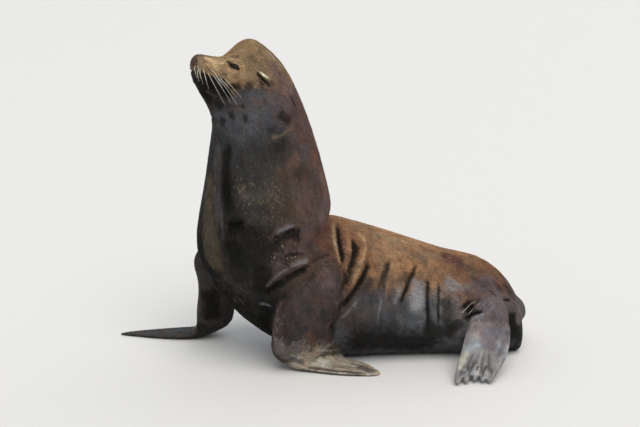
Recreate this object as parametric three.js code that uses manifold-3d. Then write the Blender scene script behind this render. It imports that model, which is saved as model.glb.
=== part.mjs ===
// An adult male sea lion sitting up on its fore flippers, life size, in millimetres.
//
// Frame: +Z is up, the animal faces -X, and its left side is -Y. The origin lies on the floor, in the
// middle of the flat where the belly rests. The trunk runs along X; the chest, neck and head turn
// towards the animal's left.
//
// The body is one loft from nose to rump. Limbs, tail, ears, eyes and claws are lofts of their own.
// Everything is then parted with thin cuts, so that neighbours keep a hair's gap.
import * as THREE from "three";
import { mergeVertices } from "three/addons/utils/BufferGeometryUtils.js";
import Module from "manifold-3d";

const wasm = await Module();
wasm.setup();

// ---------------------------------------------------------------- driving sizes
const GAP = 0.35; // between neighbours
const FLOOR = 0; // everything is cut flat here
const BIG = 4000; // a cutting block, larger than the animal

const NECK_Y = -150; // the chest and neck stand to the left of the trunk's line
const CHEST_YAW = 36; // degrees that the chest turns to its left
const HEAD_YAW = 16; // the head turns back again

const BODY_AROUND = 30; // faces round the body
const BODY_RINGS = 52; // rings from nose to rump

const EYE_RADIUS = 24;
const EYE_PROUD = 8; // how far the ball stands out of the face
const TOE_COUNT = 5;
const CLAWED_TOES = [1, 2, 3]; // a sea lion's hind claws are on its three middle toes

const COLOURS = {
  nose: 0x2e221c,
  face: 0x8c6c40,
  neck: 0x43403d,
  chest: 0x2d2a25,
  back: 0x8a6038,
  rump: 0x5f4b40,
  arm: 0x4c3a34,
  flipper: 0x7c7264,
  ankle: 0x66605f,
  hindFlipper: 0x77777a,
  tail: 0x55535a,
  eye: 0x0b0a0c,
  ear: 0x6b5236,
  claw: 0x1e1b19,
};

// ---------------------------------------------------------------- lofts
const radians = THREE.MathUtils.degToRad;

// A smooth curve through rows of three numbers; row i is reached at i / (rows - 1).
const through = (rows) =>
  new THREE.CatmullRomCurve3(rows.map((row) => new THREE.Vector3(...row)), false, "catmullrom", 0.5);

const middleOf = (place, t) => place(t, 0).add(place(t, Math.PI)).multiplyScalar(0.5);

// A closed skin over rings: a sphere's net, with each vertex put where place(along, angle) says.
// The first and the last ring draw together to a point.
function netOver(rings, around, place) {
  const net = new THREE.SphereGeometry(1, around, rings);
  const spots = net.attributes.position;
  for (let ring = 0; ring <= rings; ring++) {
    for (let side = 0; side <= around; side++) {
      const angle = ((side % around) / around) * 2 * Math.PI;
      const pole = ring === 0 || ring === rings;
      const spot = pole ? middleOf(place, ring / rings) : place(ring / rings, angle);
      spots.setXYZ(ring * (around + 1) + side, spot.x, spot.y, spot.z);
    }
  }
  net.deleteAttribute("normal");
  net.deleteAttribute("uv");
  return solidFrom(net);
}

function solidFrom(geometry) {
  const merged = mergeVertices(geometry, 1e-3);
  const solid = new wasm.Manifold(
    new wasm.Mesh({
      numProp: 3,
      vertProperties: merged.attributes.position.array,
      triVerts: new Uint32Array(merged.index.array),
    }),
  );
  if (solid.volume() > 0) return solid;
  const turned = new Uint32Array(merged.index.array);
  for (let i = 0; i < turned.length; i += 3) {
    [turned[i + 1], turned[i + 2]] = [turned[i + 2], turned[i + 1]];
  }
  return new wasm.Manifold(
    new wasm.Mesh({ numProp: 3, vertProperties: merged.attributes.position.array, triVerts: turned }),
  );
}

// ---------------------------------------------------------------- the body, nose to rump
// Each station is a slice through the body, given by its top and its underside in the profile:
// [top x, top z, underside x, underside z, half width, pear, yaw, y]. Pear above 0 narrows the top.
const STATIONS = {
  noseTip: [-856, 1284, -856, 1278, 3, 0, HEAD_YAW, -238],
  nosePad: [-849, 1304, -856, 1256, 23, 0, HEAD_YAW, -236],
  nostrils: [-834, 1315, -852, 1232, 35, 0, HEAD_YAW, -232],
  whiskers: [-806, 1318, -840, 1202, 48, 0.05, HEAD_YAW, -224],
  muzzle: [-768, 1312, -822, 1162, 60, 0.1, HEAD_YAW, -214],
  stop: [-730, 1310, -800, 1120, 75, 0.12, HEAD_YAW, -204],
  brow: [-696, 1334, -782, 1072, 94, 0.15, HEAD_YAW + 2, -195],
  crest: [-658, 1362, -776, 1022, 114, 0.16, HEAD_YAW + 4, -186],
  crown: [-614, 1370, -774, 977, 134, 0.16, HEAD_YAW + 7, -178],
  occiput: [-562, 1344, -780, 932, 154, 0.16, HEAD_YAW + 10, -170],
  nape: [-496, 1286, -790, 886, 174, 0.15, HEAD_YAW + 13, -164],
  upperNeck: [-440, 1200, -800, 842, 194, 0.13, HEAD_YAW + 16, -159],
  midNeck: [-390, 1085, -810, 795, 215, 0.1, CHEST_YAW - 2, -155],
  lowerNeck: [-340, 930, -826, 738, 240, 0.06, CHEST_YAW, -152],
  withers: [-298, 760, -848, 655, 264, 0.03, CHEST_YAW, NECK_Y],
  breast: [-288, 682, -864, 560, 278, 0, CHEST_YAW, NECK_Y],
  backFold: [-322, 606, -852, 448, 276, 0, CHEST_YAW, -146],
  shoulder: [-296, 598, -794, 334, 280, 0, CHEST_YAW - 4, -138],
  girth: [-246, 604, -690, 208, 276, 0, CHEST_YAW - 10, -120],
  breastFloor: [-222, 598, -560, 98, 272, 0, 20, -96],
  ribs: [-190, 586, -420, 16, 272, 0, 13, -66],
  lowerRibs: [-140, 568, -260, -16, 272, 0, 7, -40],
  loin: [-40, 530, -90, -20, 268, 0, 3, -14],
  waist: [90, 482, 80, -22, 256, 0, 0, 0],
  flank: [220, 441, 215, -22, 240, 0, 0, 0],
  hip: [325, 420, 330, -22, 222, 0, 0, 0],
  pelvis: [410, 380, 425, -20, 200, 0, 0, 0],
  rump: [480, 316, 492, -14, 172, 0, 0, 0],
  rumpEnd: [525, 246, 532, -14, 150, 0, 0, 0],
  tailRoot: [545, 192, 547, -12, 116, 0, 0, 0],
  rearmost: [551, 140, 552, 40, 44, 0, 0, 0],
};

const rows = Object.values(STATIONS);
const LAST = rows.length - 1;

// The share of the body's length at a station, or a part of a station beyond it.
const shareAt = (name, beyond = 0) => (Object.keys(STATIONS).indexOf(name) + beyond) / LAST;

const centreLine = through(rows.map(([tx, tz, ux, uz, , , , y]) => [(tx + ux) / 2, y, (tz + uz) / 2]));
const halfSizes = through(
  rows.map(([tx, tz, ux, uz, halfWidth, pear]) => [Math.hypot(tx - ux, tz - uz) / 2, halfWidth, pear * 100]),
);
const leans = through(
  rows.map(([tx, tz, ux, uz, , , yaw]) => [Math.atan2(tx - ux, tz - uz), radians(yaw), 0]),
);

// Low hills and hollows of the face, the same on both sides: [station, part of a station beyond it,
// degrees from the top, lift, spread in stations, spread in degrees].
const RELIEF = [
  ["crown", 0, 0, 8, 1.6, 24], // the bony ridge along a bull's crown
  ["crown", 0.1, 38, -5, 1.2, 15], // temple
  ["brow", 0.9, 36, 6, 0.8, 13],
  ["brow", 0.2, 56, -5, 0.9, 15], // hollow of the eye
  ["brow", 0.9, 84, 6, 1.2, 17], // cheek
  ["whiskers", 0.1, 82, 9, 1.3, 24], // whisker pad
  ["whiskers", 0.5, 116, -6, 1.7, 10], // line and corner of the mouth
  ["whiskers", 0.6, 150, 4, 1.6, 20], // chin
  ["nostrils", 0.2, 0, 5, 0.8, 40], // bridge of the nose
];

function relief(along, angle) {
  const degrees = THREE.MathUtils.radToDeg(Math.min(angle, 2 * Math.PI - angle));
  return RELIEF.reduce((sum, [station, beyond, from, lift, long, wide]) => {
    const lengthwise = ((along - shareAt(station, beyond)) * LAST) / long;
    return sum + lift * Math.exp(-(lengthwise ** 2) - ((degrees - from) / wide) ** 2);
  }, 0);
}

// A point of the body's skin. Angle 0 is the top, and it runs round by the animal's right.
function bodySkin(along, angle, proud = 0) {
  const centre = centreLine.getPoint(along);
  const size = halfSizes.getPoint(along);
  const lean = leans.getPoint(along);
  const heading = new THREE.Vector3(Math.cos(lean.y), Math.sin(lean.y), 0);
  const sideways = new THREE.Vector3(-heading.y, heading.x, 0);
  const upward = heading.multiplyScalar(Math.sin(lean.x));
  upward.z = Math.cos(lean.x);
  const narrowing = 1 - (size.z / 100) * Math.cos(angle);
  const lift = proud + relief(along, angle);
  const reach = Math.max(size.x, 1) + lift;
  const width = Math.max(size.y, 1) * narrowing + lift;
  return centre
    .addScaledVector(upward, reach * Math.cos(angle))
    .addScaledVector(sideways, width * Math.sin(angle));
}

// Rings lie closer together in the head, where there is more shape.
const crowded = (t) => t ** 1.2;
const bodySolid = (proud) =>
  netOver(BODY_RINGS, BODY_AROUND, (t, angle) => bodySkin(crowded(t), angle, proud));

// ---------------------------------------------------------------- limbs
// A limb's slice is given by the two edges that a flipper shows: [leading edge, trailing edge,
// half thickness]. The slice is an oval between them, thickest near the leading edge.
function limbSolid(slices, rings, around, proud = 0) {
  const leading = through(slices.map(([lead]) => lead));
  const trailing = through(slices.map(([, trail]) => trail));
  const thickness = through(slices.map(([, , half]) => [half, 0, 0]));
  const middle = (t) => leading.getPoint(t).add(trailing.getPoint(t)).multiplyScalar(0.5);
  const step = 0.01;
  return netOver(rings, around, (t, angle) => {
    const centre = middle(t);
    const along = middle(Math.min(t + step, 1)).sub(middle(Math.max(t - step, 0))).normalize();
    const across = leading.getPoint(t).sub(centre);
    const half = across.length() + proud;
    across.normalize();
    const depthwise = along.cross(across).normalize();
    const thick = (Math.max(thickness.getPoint(t).x, 0.5) + proud) * (1 + 0.25 * Math.cos(angle));
    return centre
      .addScaledVector(across, half * Math.cos(angle))
      .addScaledVector(depthwise, thick * Math.sin(angle));
  });
}

const LEFT_FORE = [
  [[-440, -290, 530], [-320, -280, 530], 16],
  [[-474, -318, 452], [-258, -292, 470], 48],
  [[-498, -340, 366], [-238, -322, 400], 68],
  [[-514, -354, 290], [-250, -335, 320], 76],
  [[-534, -352, 220], [-286, -318, 232], 68],
  [[-544, -340, 150], [-286, -288, 150], 58],
  [[-538, -318, 78], [-266, -232, 66], 44],
  [[-480, -318, 30], [-244, -196, 26], 30],
  [[-400, -334, 17], [-215, -202, 15], 20],
  [[-298, -356, 12], [-170, -222, 10], 13],
  [[-190, -366, 9], [-128, -258, 7], 9],
  [[-118, -364, 6], [-98, -310, 5], 6],
  [[-86, -348, 4], [-84, -338, 4], 3],
];

const RIGHT_FORE = [
  [[-800, -60, 520], [-680, -20, 520], 16],
  [[-872, -16, 446], [-668, 6, 452], 44],
  [[-900, 10, 384], [-664, 24, 390], 60],
  [[-888, 26, 318], [-686, 44, 320], 62],
  [[-884, 40, 250], [-704, 62, 250], 58],
  [[-892, 46, 175], [-722, 76, 165], 52],
  [[-904, 42, 100], [-738, 104, 84], 42],
  [[-908, 38, 44], [-790, 158, 36], 30],
  [[-950, 46, 18], [-892, 184, 16], 19],
  [[-1040, 58, 12], [-1000, 184, 10], 12],
  [[-1140, 80, 9], [-1100, 172, 7], 8],
  [[-1222, 104, 6], [-1196, 152, 5], 5],
  [[-1266, 118, 4], [-1262, 128, 4], 3],
];

// The hind feet. The left one slopes down from the hip to its toes; the right one lies along the floor.
const LEFT_HIND = {
  foot: [
    [[350, -130, 300], [430, -130, 310], 26],
    [[328, -205, 278], [446, -205, 284], 50],
    [[300, -245, 234], [452, -252, 238], 46],
    [[276, -285, 180], [457, -290, 186], 36],
    [[254, -330, 124], [452, -332, 126], 28],
    [[236, -372, 74], [430, -368, 76], 20],
    [[226, -410, 38], [398, -404, 40], 10],
    [[226, -424, 26], [382, -420, 26], 5],
  ],
  // The row of toes runs from the big toe to the little toe.
  bigToe: { root: [256, -350, 84], tip: [218, -468, 11] },
  littleToe: { root: [418, -342, 88], tip: [348, -454, 12] },
};

const RIGHT_HIND = {
  foot: [
    [[470, 60, 170], [400, 30, 210], 26],
    [[560, 70, 110], [430, 130, 160], 54],
    [[578, 96, 56], [424, 210, 92], 46],
    [[548, 170, 40], [386, 262, 52], 32],
    [[492, 248, 26], [330, 312, 30], 22],
    [[436, 316, 18], [276, 352, 20], 15],
    [[396, 362, 12], [240, 372, 14], 9],
    [[384, 378, 9], [230, 382, 10], 5],
  ],
  bigToe: { root: [424, 308, 24], tip: [350, 446, 9] },
  littleToe: { root: [296, 330, 26], tip: [178, 408, 9] },
};

const mixed = (a, b, share) => a.map((value, k) => value + (b[k] - value) * share);

function toesOf({ bigToe, littleToe }) {
  return Array.from({ length: TOE_COUNT }, (_, i) => {
    const share = i / (TOE_COUNT - 1);
    const outer = Math.abs(share - 0.5) * 2; // 1 on the outermost toes, 0 on the middle one
    const start = new THREE.Vector3(...mixed(bigToe.root, littleToe.root, share));
    const end = new THREE.Vector3(...mixed(bigToe.tip, littleToe.tip, share)).lerp(start, 0.14 * (1 - outer));
    end.z = mixed(bigToe.tip, littleToe.tip, share)[2];
    const knuckle = start.clone().lerp(end, 0.5).add(new THREE.Vector3(0, 0, 10));
    const line = new THREE.QuadraticBezierCurve3(start, knuckle, end);
    return { line, halfWide: 14 + 6 * outer, halfHigh: 14 };
  });
}

// A blunt finger along a curve.
function fingerSolid({ line, halfWide, halfHigh }, proud = 0) {
  const across = new THREE.Vector3(0, 0, 1).cross(line.v2.clone().sub(line.v0)).normalize();
  return netOver(6, 6, (ring, angle) => {
    const t = 0.5 - 0.5 * Math.cos(Math.PI * ring);
    const upward = line.getTangent(t).cross(across).normalize();
    const girth = Math.cbrt(1 - Math.abs(2 * t - 1) ** 4) * (1 - 0.25 * t);
    return line
      .getPoint(t)
      .addScaledVector(across, (halfWide * girth + proud) * Math.cos(angle))
      .addScaledVector(upward, (halfHigh * girth + proud) * Math.sin(angle));
  });
}

function hindSolid(side, proud = 0) {
  const sole = limbSolid(side.foot, 11, 12, proud);
  return toesOf(side).reduce((foot, toe) => foot.add(fingerSolid(toe, proud)), sole);
}

// ---------------------------------------------------------------- small parts
// A horn along a curve, pointed at its end: an ear, a claw or the tail.
function hornSolid(points, halfWide, halfHigh, wideAxis, rings, around) {
  const line = through(points);
  return netOver(rings, around, (t, angle) => {
    const along = line.getTangent(t);
    const upward = along.clone().cross(wideAxis).normalize();
    const across = upward.clone().cross(along).normalize();
    const girth = Math.sqrt(Math.max(0, 1 - t ** 3)) * Math.min(1, Math.sqrt(t / 0.12));
    return line
      .getPoint(t)
      .addScaledVector(across, halfWide * girth * Math.cos(angle))
      .addScaledVector(upward, halfHigh * girth * Math.sin(angle));
  });
}

// A place on the head: the skin there, its outward direction, and the way back along the head.
// Side is -1 on the left and 1 on the right.
function placeOnHead([along, degrees], side) {
  const angle = radians((side * degrees + 360) % 360);
  const spot = bodySkin(along, angle);
  const backward = bodySkin(along + 0.004, angle).sub(spot).normalize();
  const round = bodySkin(along, (angle + 0.04) % (2 * Math.PI)).sub(spot);
  const outward = backward.clone().cross(round).normalize();
  return { spot, outward, backward };
}

const EYE_PLACE = [shareAt("brow", 0.5), 57];
const EAR_PLACE = [shareAt("crown", 0.6), 61];
const NOSTRIL_PLACE = [shareAt("nosePad", 0.15), 52];

function eyeSolid(side, proud = 0) {
  const { spot, outward } = placeOnHead(EYE_PLACE, side);
  const centre = spot.addScaledVector(outward, EYE_PROUD - EYE_RADIUS);
  const ball = new THREE.SphereGeometry(EYE_RADIUS + proud, 14, 8);
  ball.deleteAttribute("normal");
  ball.deleteAttribute("uv");
  ball.translate(centre.x, centre.y, centre.z);
  return solidFrom(ball);
}

const offset = (spot, one, far, other, further) =>
  spot.clone().addScaledVector(one, far).addScaledVector(other, further).toArray();

// The ear is a little rolled cone that lies back along the head.
function earSolid(side) {
  const { spot, outward, backward } = placeOnHead(EAR_PLACE, side);
  const at = (out, back) => offset(spot, outward, out, backward, back);
  const spine = [at(-12, -8), at(6, 4), at(14, 26), at(13, 46), at(9, 62)];
  return hornSolid(spine, 9, 6, outward.clone().cross(backward), 8, 10);
}

// A nostril is a slanting slot in the front of the nose.
function nostrilSolid(side) {
  const { spot, outward, backward } = placeOnHead(NOSTRIL_PLACE, side);
  const down = outward.clone().cross(backward).multiplyScalar(side);
  const at = (out, low) => offset(spot, outward, out, down, low);
  return hornSolid([at(-1, -9), at(-2, -3), at(-2, 3), at(-1, 9)], 4, 5, backward, 6, 8);
}

const claws = (side) =>
  CLAWED_TOES.map((toe) => {
    const { line, halfHigh } = toesOf(side)[toe];
    const at = (t, over) => line.getPoint(t).add(new THREE.Vector3(0, 0, halfHigh + over)).toArray();
    const across = line.getTangent(0.6).cross(new THREE.Vector3(0, 0, 1));
    const spine = [at(0.5, -6), at(0.58, 1), at(0.66, 1), at(0.73, -2)];
    return hornSolid(spine, 5, 3.5, across, 5, 6);
  });

const TAIL = [
  [494, -24, 232],
  [534, -30, 214],
  [553, -34, 178],
  [556, -36, 130],
];

// ---------------------------------------------------------------- cutting
// The half of space past a point, in the direction given.
function halfSpace(point, direction, shift = 0) {
  const normal = direction.clone().normalize();
  const box = new THREE.BoxGeometry(BIG, BIG, BIG);
  box.deleteAttribute("normal");
  box.deleteAttribute("uv");
  box.applyQuaternion(new THREE.Quaternion().setFromUnitVectors(new THREE.Vector3(0, 0, 1), normal));
  const centre = point.clone().addScaledVector(normal, BIG / 2 + shift);
  box.translate(centre.x, centre.y, centre.z);
  return solidFrom(box);
}

// Parts a solid square to a line at a share of its length, and leaves a gap. Gives [before, after].
function parted(solid, line, share) {
  const point = line.getPoint(share);
  const direction = line.getTangent(share);
  return [
    largest(solid.subtract(halfSpace(point, direction, -GAP / 2))),
    largest(solid.subtract(halfSpace(point, direction.clone().negate(), -GAP / 2))),
  ];
}

// Keeps the main body of a cut, without crumbs.
const larger = (one, other) => (one.volume() > other.volume() ? one : other);
const largest = (solid) => solid.decompose().reduce(larger);

const middleLine = (slices) => through(slices.map(([lead, trail]) => mixed(lead, trail, 0.5)));

const floorBlock = halfSpace(new THREE.Vector3(0, 0, FLOOR), new THREE.Vector3(0, 0, -1));
const standing = (solid) => solid.subtract(floorBlock);

// ---------------------------------------------------------------- the animal
const LEFT = -1;
const RIGHT = 1;

// Where each piece of the body ends, from the nose back; what is left is the rump.
const PARTINGS = {
  nose: shareAt("nostrils", -0.1),
  head: shareAt("nape"),
  neck: shareAt("withers"),
  chest: shareAt("lowerRibs"),
  trunk: shareAt("hip"),
};
const WRIST = 6.2; // slices along a fore limb
const HEEL = 2.6; // slices along a hind limb

const bodyCutter = bodySolid(GAP);
const solids = {};

let rest = standing(bodySolid(0));
for (const side of [LEFT, RIGHT]) {
  rest = rest.subtract(eyeSolid(side, GAP)).subtract(nostrilSolid(side));
}
for (const [name, share] of Object.entries(PARTINGS)) {
  [solids[name], rest] = parted(rest, centreLine, share);
}
solids.rump = rest;

const clear = (solid) => largest(standing(solid).subtract(bodyCutter));

solids.tail = clear(hornSolid(TAIL, 34, 15, new THREE.Vector3(0, 1, 0), 8, 12));
for (const [word, side, fore, hind] of [
  ["left", LEFT, LEFT_FORE, LEFT_HIND],
  ["right", RIGHT, RIGHT_FORE, RIGHT_HIND],
]) {
  solids[`eye_${word}`] = eyeSolid(side);
  solids[`ear_${word}`] = clear(earSolid(side));
  [solids[`fore_arm_${word}`], solids[`fore_flipper_${word}`]] = parted(
    clear(limbSolid(fore, 20, 14)),
    middleLine(fore),
    WRIST / (fore.length - 1),
  );
  [solids[`ankle_${word}`], solids[`hind_flipper_${word}`]] = parted(
    clear(hindSolid(hind)),
    middleLine(hind.foot),
    HEEL / (hind.foot.length - 1),
  );
  const hindCutter = hindSolid(hind, GAP);
  claws(hind).forEach((claw, i) => {
    solids[`claw_${word}_${i + 1}`] = largest(standing(claw).subtract(hindCutter));
  });
}
solids.tail = largest(solids.tail.subtract(hindSolid(RIGHT_HIND, GAP)).subtract(hindSolid(LEFT_HIND, GAP)));

// ---------------------------------------------------------------- the scene graph
const COLOUR_OF = {
  trunk: "back",
  head: "face",
  fore_arm: "arm",
  fore_flipper: "flipper",
  hind_flipper: "hindFlipper",
};

function colourOf(name) {
  const kind = name.replace(/_(left|right).*/, "");
  return COLOURS[COLOUR_OF[kind] ?? kind];
}

function meshOf(name, solid) {
  const { numProp, vertProperties, triVerts } = solid.getMesh();
  const spots = new Float32Array((vertProperties.length / numProp) * 3);
  for (let i = 0; i < spots.length / 3; i++) {
    spots.set(vertProperties.subarray(i * numProp, i * numProp + 3), i * 3);
  }
  const geometry = new THREE.BufferGeometry();
  geometry.setAttribute("position", new THREE.BufferAttribute(spots, 3));
  geometry.setIndex(new THREE.BufferAttribute(triVerts, 1));
  geometry.computeVertexNormals();
  const material = new THREE.MeshStandardMaterial({ color: colourOf(name), roughness: 0.6 });
  const mesh = new THREE.Mesh(geometry, material);
  mesh.name = name;
  return mesh;
}

const seaLion = new THREE.Group();
seaLion.name = "sea_lion";
for (const [name, solid] of Object.entries(solids)) seaLion.add(meshOf(name, solid));

export default seaLion;
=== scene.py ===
# %% [markdown]
# # A bull sea lion, sitting up
# A museum model has a frame inside that fixes its size and stance, and a hide stretched over it.
# Here the frame is a set of plain solids in metres: the animal looks towards -X, its left side is
# towards -Y, and the floor is at Z = 0. This script dresses that frame and never moves it.

# %% Load the frame
import math

import bmesh
import bpy
import numpy as np
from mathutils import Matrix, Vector
from mathutils.bvhtree import BVHTree


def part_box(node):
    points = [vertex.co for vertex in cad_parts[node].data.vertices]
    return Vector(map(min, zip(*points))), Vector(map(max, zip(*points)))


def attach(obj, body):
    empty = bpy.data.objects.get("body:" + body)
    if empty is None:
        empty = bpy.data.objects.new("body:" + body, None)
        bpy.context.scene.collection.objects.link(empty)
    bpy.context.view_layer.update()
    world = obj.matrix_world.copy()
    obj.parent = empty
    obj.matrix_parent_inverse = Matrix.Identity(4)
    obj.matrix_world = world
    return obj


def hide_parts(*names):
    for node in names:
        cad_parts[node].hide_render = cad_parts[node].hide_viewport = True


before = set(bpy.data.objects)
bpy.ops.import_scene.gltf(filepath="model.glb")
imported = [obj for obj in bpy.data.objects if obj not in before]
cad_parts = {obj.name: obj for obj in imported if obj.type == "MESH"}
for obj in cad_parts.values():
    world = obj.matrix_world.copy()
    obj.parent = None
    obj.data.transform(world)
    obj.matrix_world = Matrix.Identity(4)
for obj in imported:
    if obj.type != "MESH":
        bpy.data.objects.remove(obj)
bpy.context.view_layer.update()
print("the frame has", len(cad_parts), "solids")

# %% [markdown]
# ## The camera
# The camera stands about four and a half metres to the animal's left, a little above its head, and
# looks down on it by 14.5 degrees. A long lens from far away keeps the proportions true.

# %% Camera
PICTURE = (640, 427)
CAMERA_PLACE = Vector((-0.340, -4.5535, 1.7857))
LOOKS_DOWN = math.radians(14.5)
LENS = 60.8
SENSOR = 36.0


def in_scene(name, data):
    """A new object of the scene, at the origin."""
    made = bpy.data.objects.new(name, data)
    bpy.context.scene.collection.objects.link(made)
    return made


camera_data = bpy.data.cameras.new("camera")
camera_data.lens = LENS
camera_data.sensor_width = SENSOR
camera = in_scene("camera", camera_data)
camera.location = CAMERA_PLACE
camera.rotation_euler = (math.radians(90) - LOOKS_DOWN, 0, 0)
bpy.context.scene.camera = camera


def sight_line(across, down):
    """The direction in which the camera sees a place of its picture."""
    pixels = PICTURE[0] * LENS / SENSOR
    ahead = Vector((0, math.cos(LOOKS_DOWN), -math.sin(LOOKS_DOWN)))
    upward = Vector((0, math.sin(LOOKS_DOWN), math.cos(LOOKS_DOWN)))
    line = ahead + Vector((1, 0, 0)) * ((across - PICTURE[0] / 2) / pixels)
    return (line + upward * ((PICTURE[1] / 2 - down) / pixels)).normalized()


print("the camera stands", round(-CAMERA_PLACE.y, 2), "m to the animal's left")

# %% [markdown]
# ## The studio
# Fur shows best in broad, soft light. A sun whose disc is spread over many degrees lights the
# floor evenly out to the horizon, a weaker one gives the back a rim, and the pale floor throws
# some light back on the belly.

# %% Floor, lamps and the room's own light
FLOOR_COLOUR = (0.80, 0.79, 0.77, 1)
FLOOR_HALF = 150
FLOOR_GAP = 0.0005  # keeps the floor's face from flickering in the soles
ROOM_COLOUR, ROOM_LIGHT = (0.86, 0.90, 0.96, 1), 0.50


def set_sockets(node, **sockets):
    """Sets a node's sockets by name, with _ written for a blank."""
    for socket, value in sockets.items():
        node.inputs[socket.replace("_", " ")].default_value = value


def into_mesh(form, name):
    """Turns a bmesh into a new mesh and frees it."""
    mesh = bpy.data.meshes.new(name)
    form.to_mesh(mesh)
    form.free()
    return mesh


def soft_sun(name, toward, spread, power, colour):
    """A sun seen in one direction and spread over many degrees, so that its shadows are soft."""
    data = bpy.data.lights.new(name, "SUN")
    data.angle = math.radians(spread)
    data.energy = power
    data.color = colour
    lamp = in_scene(name, data)
    lamp.rotation_euler = Vector(toward).to_track_quat("Z", "Y").to_euler()


soft_sun("key", (0.12, -0.52, 0.85), 50, 2.15, (1.0, 0.97, 0.92))
soft_sun("rim", (0.50, 0.70, 0.50), 70, 0.40, (0.93, 0.96, 1.0))

room = bpy.data.worlds.new("room")
bpy.context.scene.world = room
room.use_nodes = True
set_sockets(room.node_tree.nodes["Background"], Color=ROOM_COLOUR, Strength=ROOM_LIGHT)
bpy.context.scene.view_settings.view_transform = "Standard"

floor_material = bpy.data.materials.new("pale_floor")
floor_material.use_nodes = True
floor_shader = floor_material.node_tree.nodes["Principled BSDF"]
set_sockets(floor_shader, Base_Color=FLOOR_COLOUR, Roughness=0.75)
floor_form = bmesh.new()
bmesh.ops.create_grid(floor_form, x_segments=1, y_segments=1, size=FLOOR_HALF)
floor_mesh = into_mesh(floor_form, "studio_floor")
floor_mesh.materials.append(floor_material)
floor = in_scene("studio_floor", floor_mesh)
floor.location.z = -FLOOR_GAP
print("the floor reaches", FLOOR_HALF, "m to each side")

# %% [markdown]
# ## One skin from many solids
# The frame's flesh is parted into head, neck, chest and so on, with hair-thin gaps. On the animal
# one hide covers them all. Each solid is copied, its doubled points are merged, and it is let out
# by a millimetre so that neighbours overlap. A voxel remesh then wraps one even net round them.

# %% Wrap the flesh
FLESH = ["nose", "head", "neck", "chest", "trunk", "rump", "tail"]
for side in ("left", "right"):
    FLESH += [f"{part}_{side}" for part in ("ear", "fore_arm", "fore_flipper", "ankle", "hind_flipper")]
EYES = ["eye_left", "eye_right"]
LET_OUT = 0.0010
NET = 0.0050
DOUBLED = 1e-6  # points nearer to each other than this are one point


def merged_copy(name, let_out=0.0):
    """A CAD node's mesh with its doubled points merged, as a bmesh."""
    form = bmesh.new()
    form.from_mesh(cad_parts[name].data)
    bmesh.ops.remove_doubles(form, verts=form.verts, dist=DOUBLED)
    form.normal_update()
    for vert in form.verts:
        vert.co += vert.normal * let_out
    return form


joined = bmesh.new()
for name in FLESH + EYES:
    loose = into_mesh(merged_copy(name, LET_OUT), name + "_copy")
    joined.from_mesh(loose)
    bpy.data.meshes.remove(loose)
skin = in_scene("skin", into_mesh(joined, "skin"))


def apply_modifiers(piece):
    """Puts the result of a piece's modifiers in its mesh."""
    shown = bpy.context.evaluated_depsgraph_get()
    finished = bpy.data.meshes.new_from_object(piece.evaluated_get(shown))
    old = piece.data
    piece.modifiers.clear()
    piece.data = finished
    bpy.data.meshes.remove(old)


wrap = skin.modifiers.new("wrap", "REMESH")
wrap.mode = "VOXEL"
wrap.voxel_size = NET
apply_modifiers(skin)
print("the net has", len(skin.data.vertices), "points and", len(skin.data.polygons), "faces")

# %% [markdown]
# ## Working on many points at once
# A loop over two hundred thousand points is slow, so the points are kept in one array, and each
# step moves all of them together. These helpers read and write the net.


# %% Helpers for the net
def read(items, name, columns, kind=np.int32):
    """A property of all of a mesh's points, edges or faces, as rows of numbers."""
    found = np.empty(len(items) * columns, kind)
    items.foreach_get(name, found)
    return found.reshape(-1, columns)


def points_of(mesh):
    return read(mesh.vertices, "co", 3, np.float32).astype(np.float64)


def normals_of(mesh):
    return read(mesh.vertex_normals, "vector", 3, np.float32).astype(np.float64)


def put_points(mesh, points):
    mesh.vertices.foreach_set("co", points.astype(np.float32).ravel())
    mesh.update()


def shade_smooth(mesh):
    mesh.polygons.foreach_set("use_smooth", np.ones(len(mesh.polygons), bool))


class Evener:
    """Evens out values over a net: each point takes a share of its neighbours' mean."""

    def __init__(self, mesh):
        edges = read(mesh.edges, "vertices", 2)
        self.start = np.concatenate([edges[:, 0], edges[:, 1]])
        self.end = np.concatenate([edges[:, 1], edges[:, 0]])
        self.count = len(mesh.vertices)
        self.degree = np.maximum(np.bincount(self.start, minlength=self.count), 1)

    def mean(self, values):
        columns = values.reshape(self.count, -1)
        sums = [np.bincount(self.start, columns[self.end, k], self.count) for k in range(columns.shape[1])]
        return (np.stack(sums, 1) / self.degree[:, None]).reshape(values.shape)

    def even(self, values, rounds, share=0.6):
        """The values after some rounds; the share may differ from point to point."""
        share = np.asarray(share, float)
        if share.ndim and values.ndim > 1:
            share = share[:, None]
        for _ in range(rounds):
            values = values + share * (self.mean(values) - values)
        return values


net = Evener(skin.data)
print("each point has", round(float(net.degree.mean()), 1), "neighbours")

# %% [markdown]
# ## Which part of the animal is this?
# Every point of the net takes the name of the solid that it lies on. From these names come how
# strongly the skin is evened out, how deep the coat is, and later which way the hair lies.

# %% Name the points
node_points, node_faces, face_part = [], [], []
PARTS = FLESH + EYES
for number, name in enumerate(PARTS):
    part = merged_copy(name)
    first = len(node_points)
    node_points += [vert.co.copy() for vert in part.verts]
    node_faces += [[first + vert.index for vert in face.verts] for face in part.faces]
    face_part += [number] * len(part.faces)
    part.free()
solids_tree = BVHTree.FromPolygons(node_points, node_faces)


def part_numbers(points):
    """The number in PARTS of the solid nearest to each point."""
    nearest = solids_tree.find_nearest
    return np.array([face_part[nearest(point)[2]] for point in points.tolist()])


points = points_of(skin.data)
part_of = part_numbers(points)


def belongs(*names):
    """1 for points on the named parts, 0 for the others. A name without a side means both sides."""
    wanted = [number for number, part in enumerate(PARTS) if {part, part.rsplit("_", 1)[0]} & set(names)]
    return np.isin(part_of, wanted).astype(float)


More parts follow.
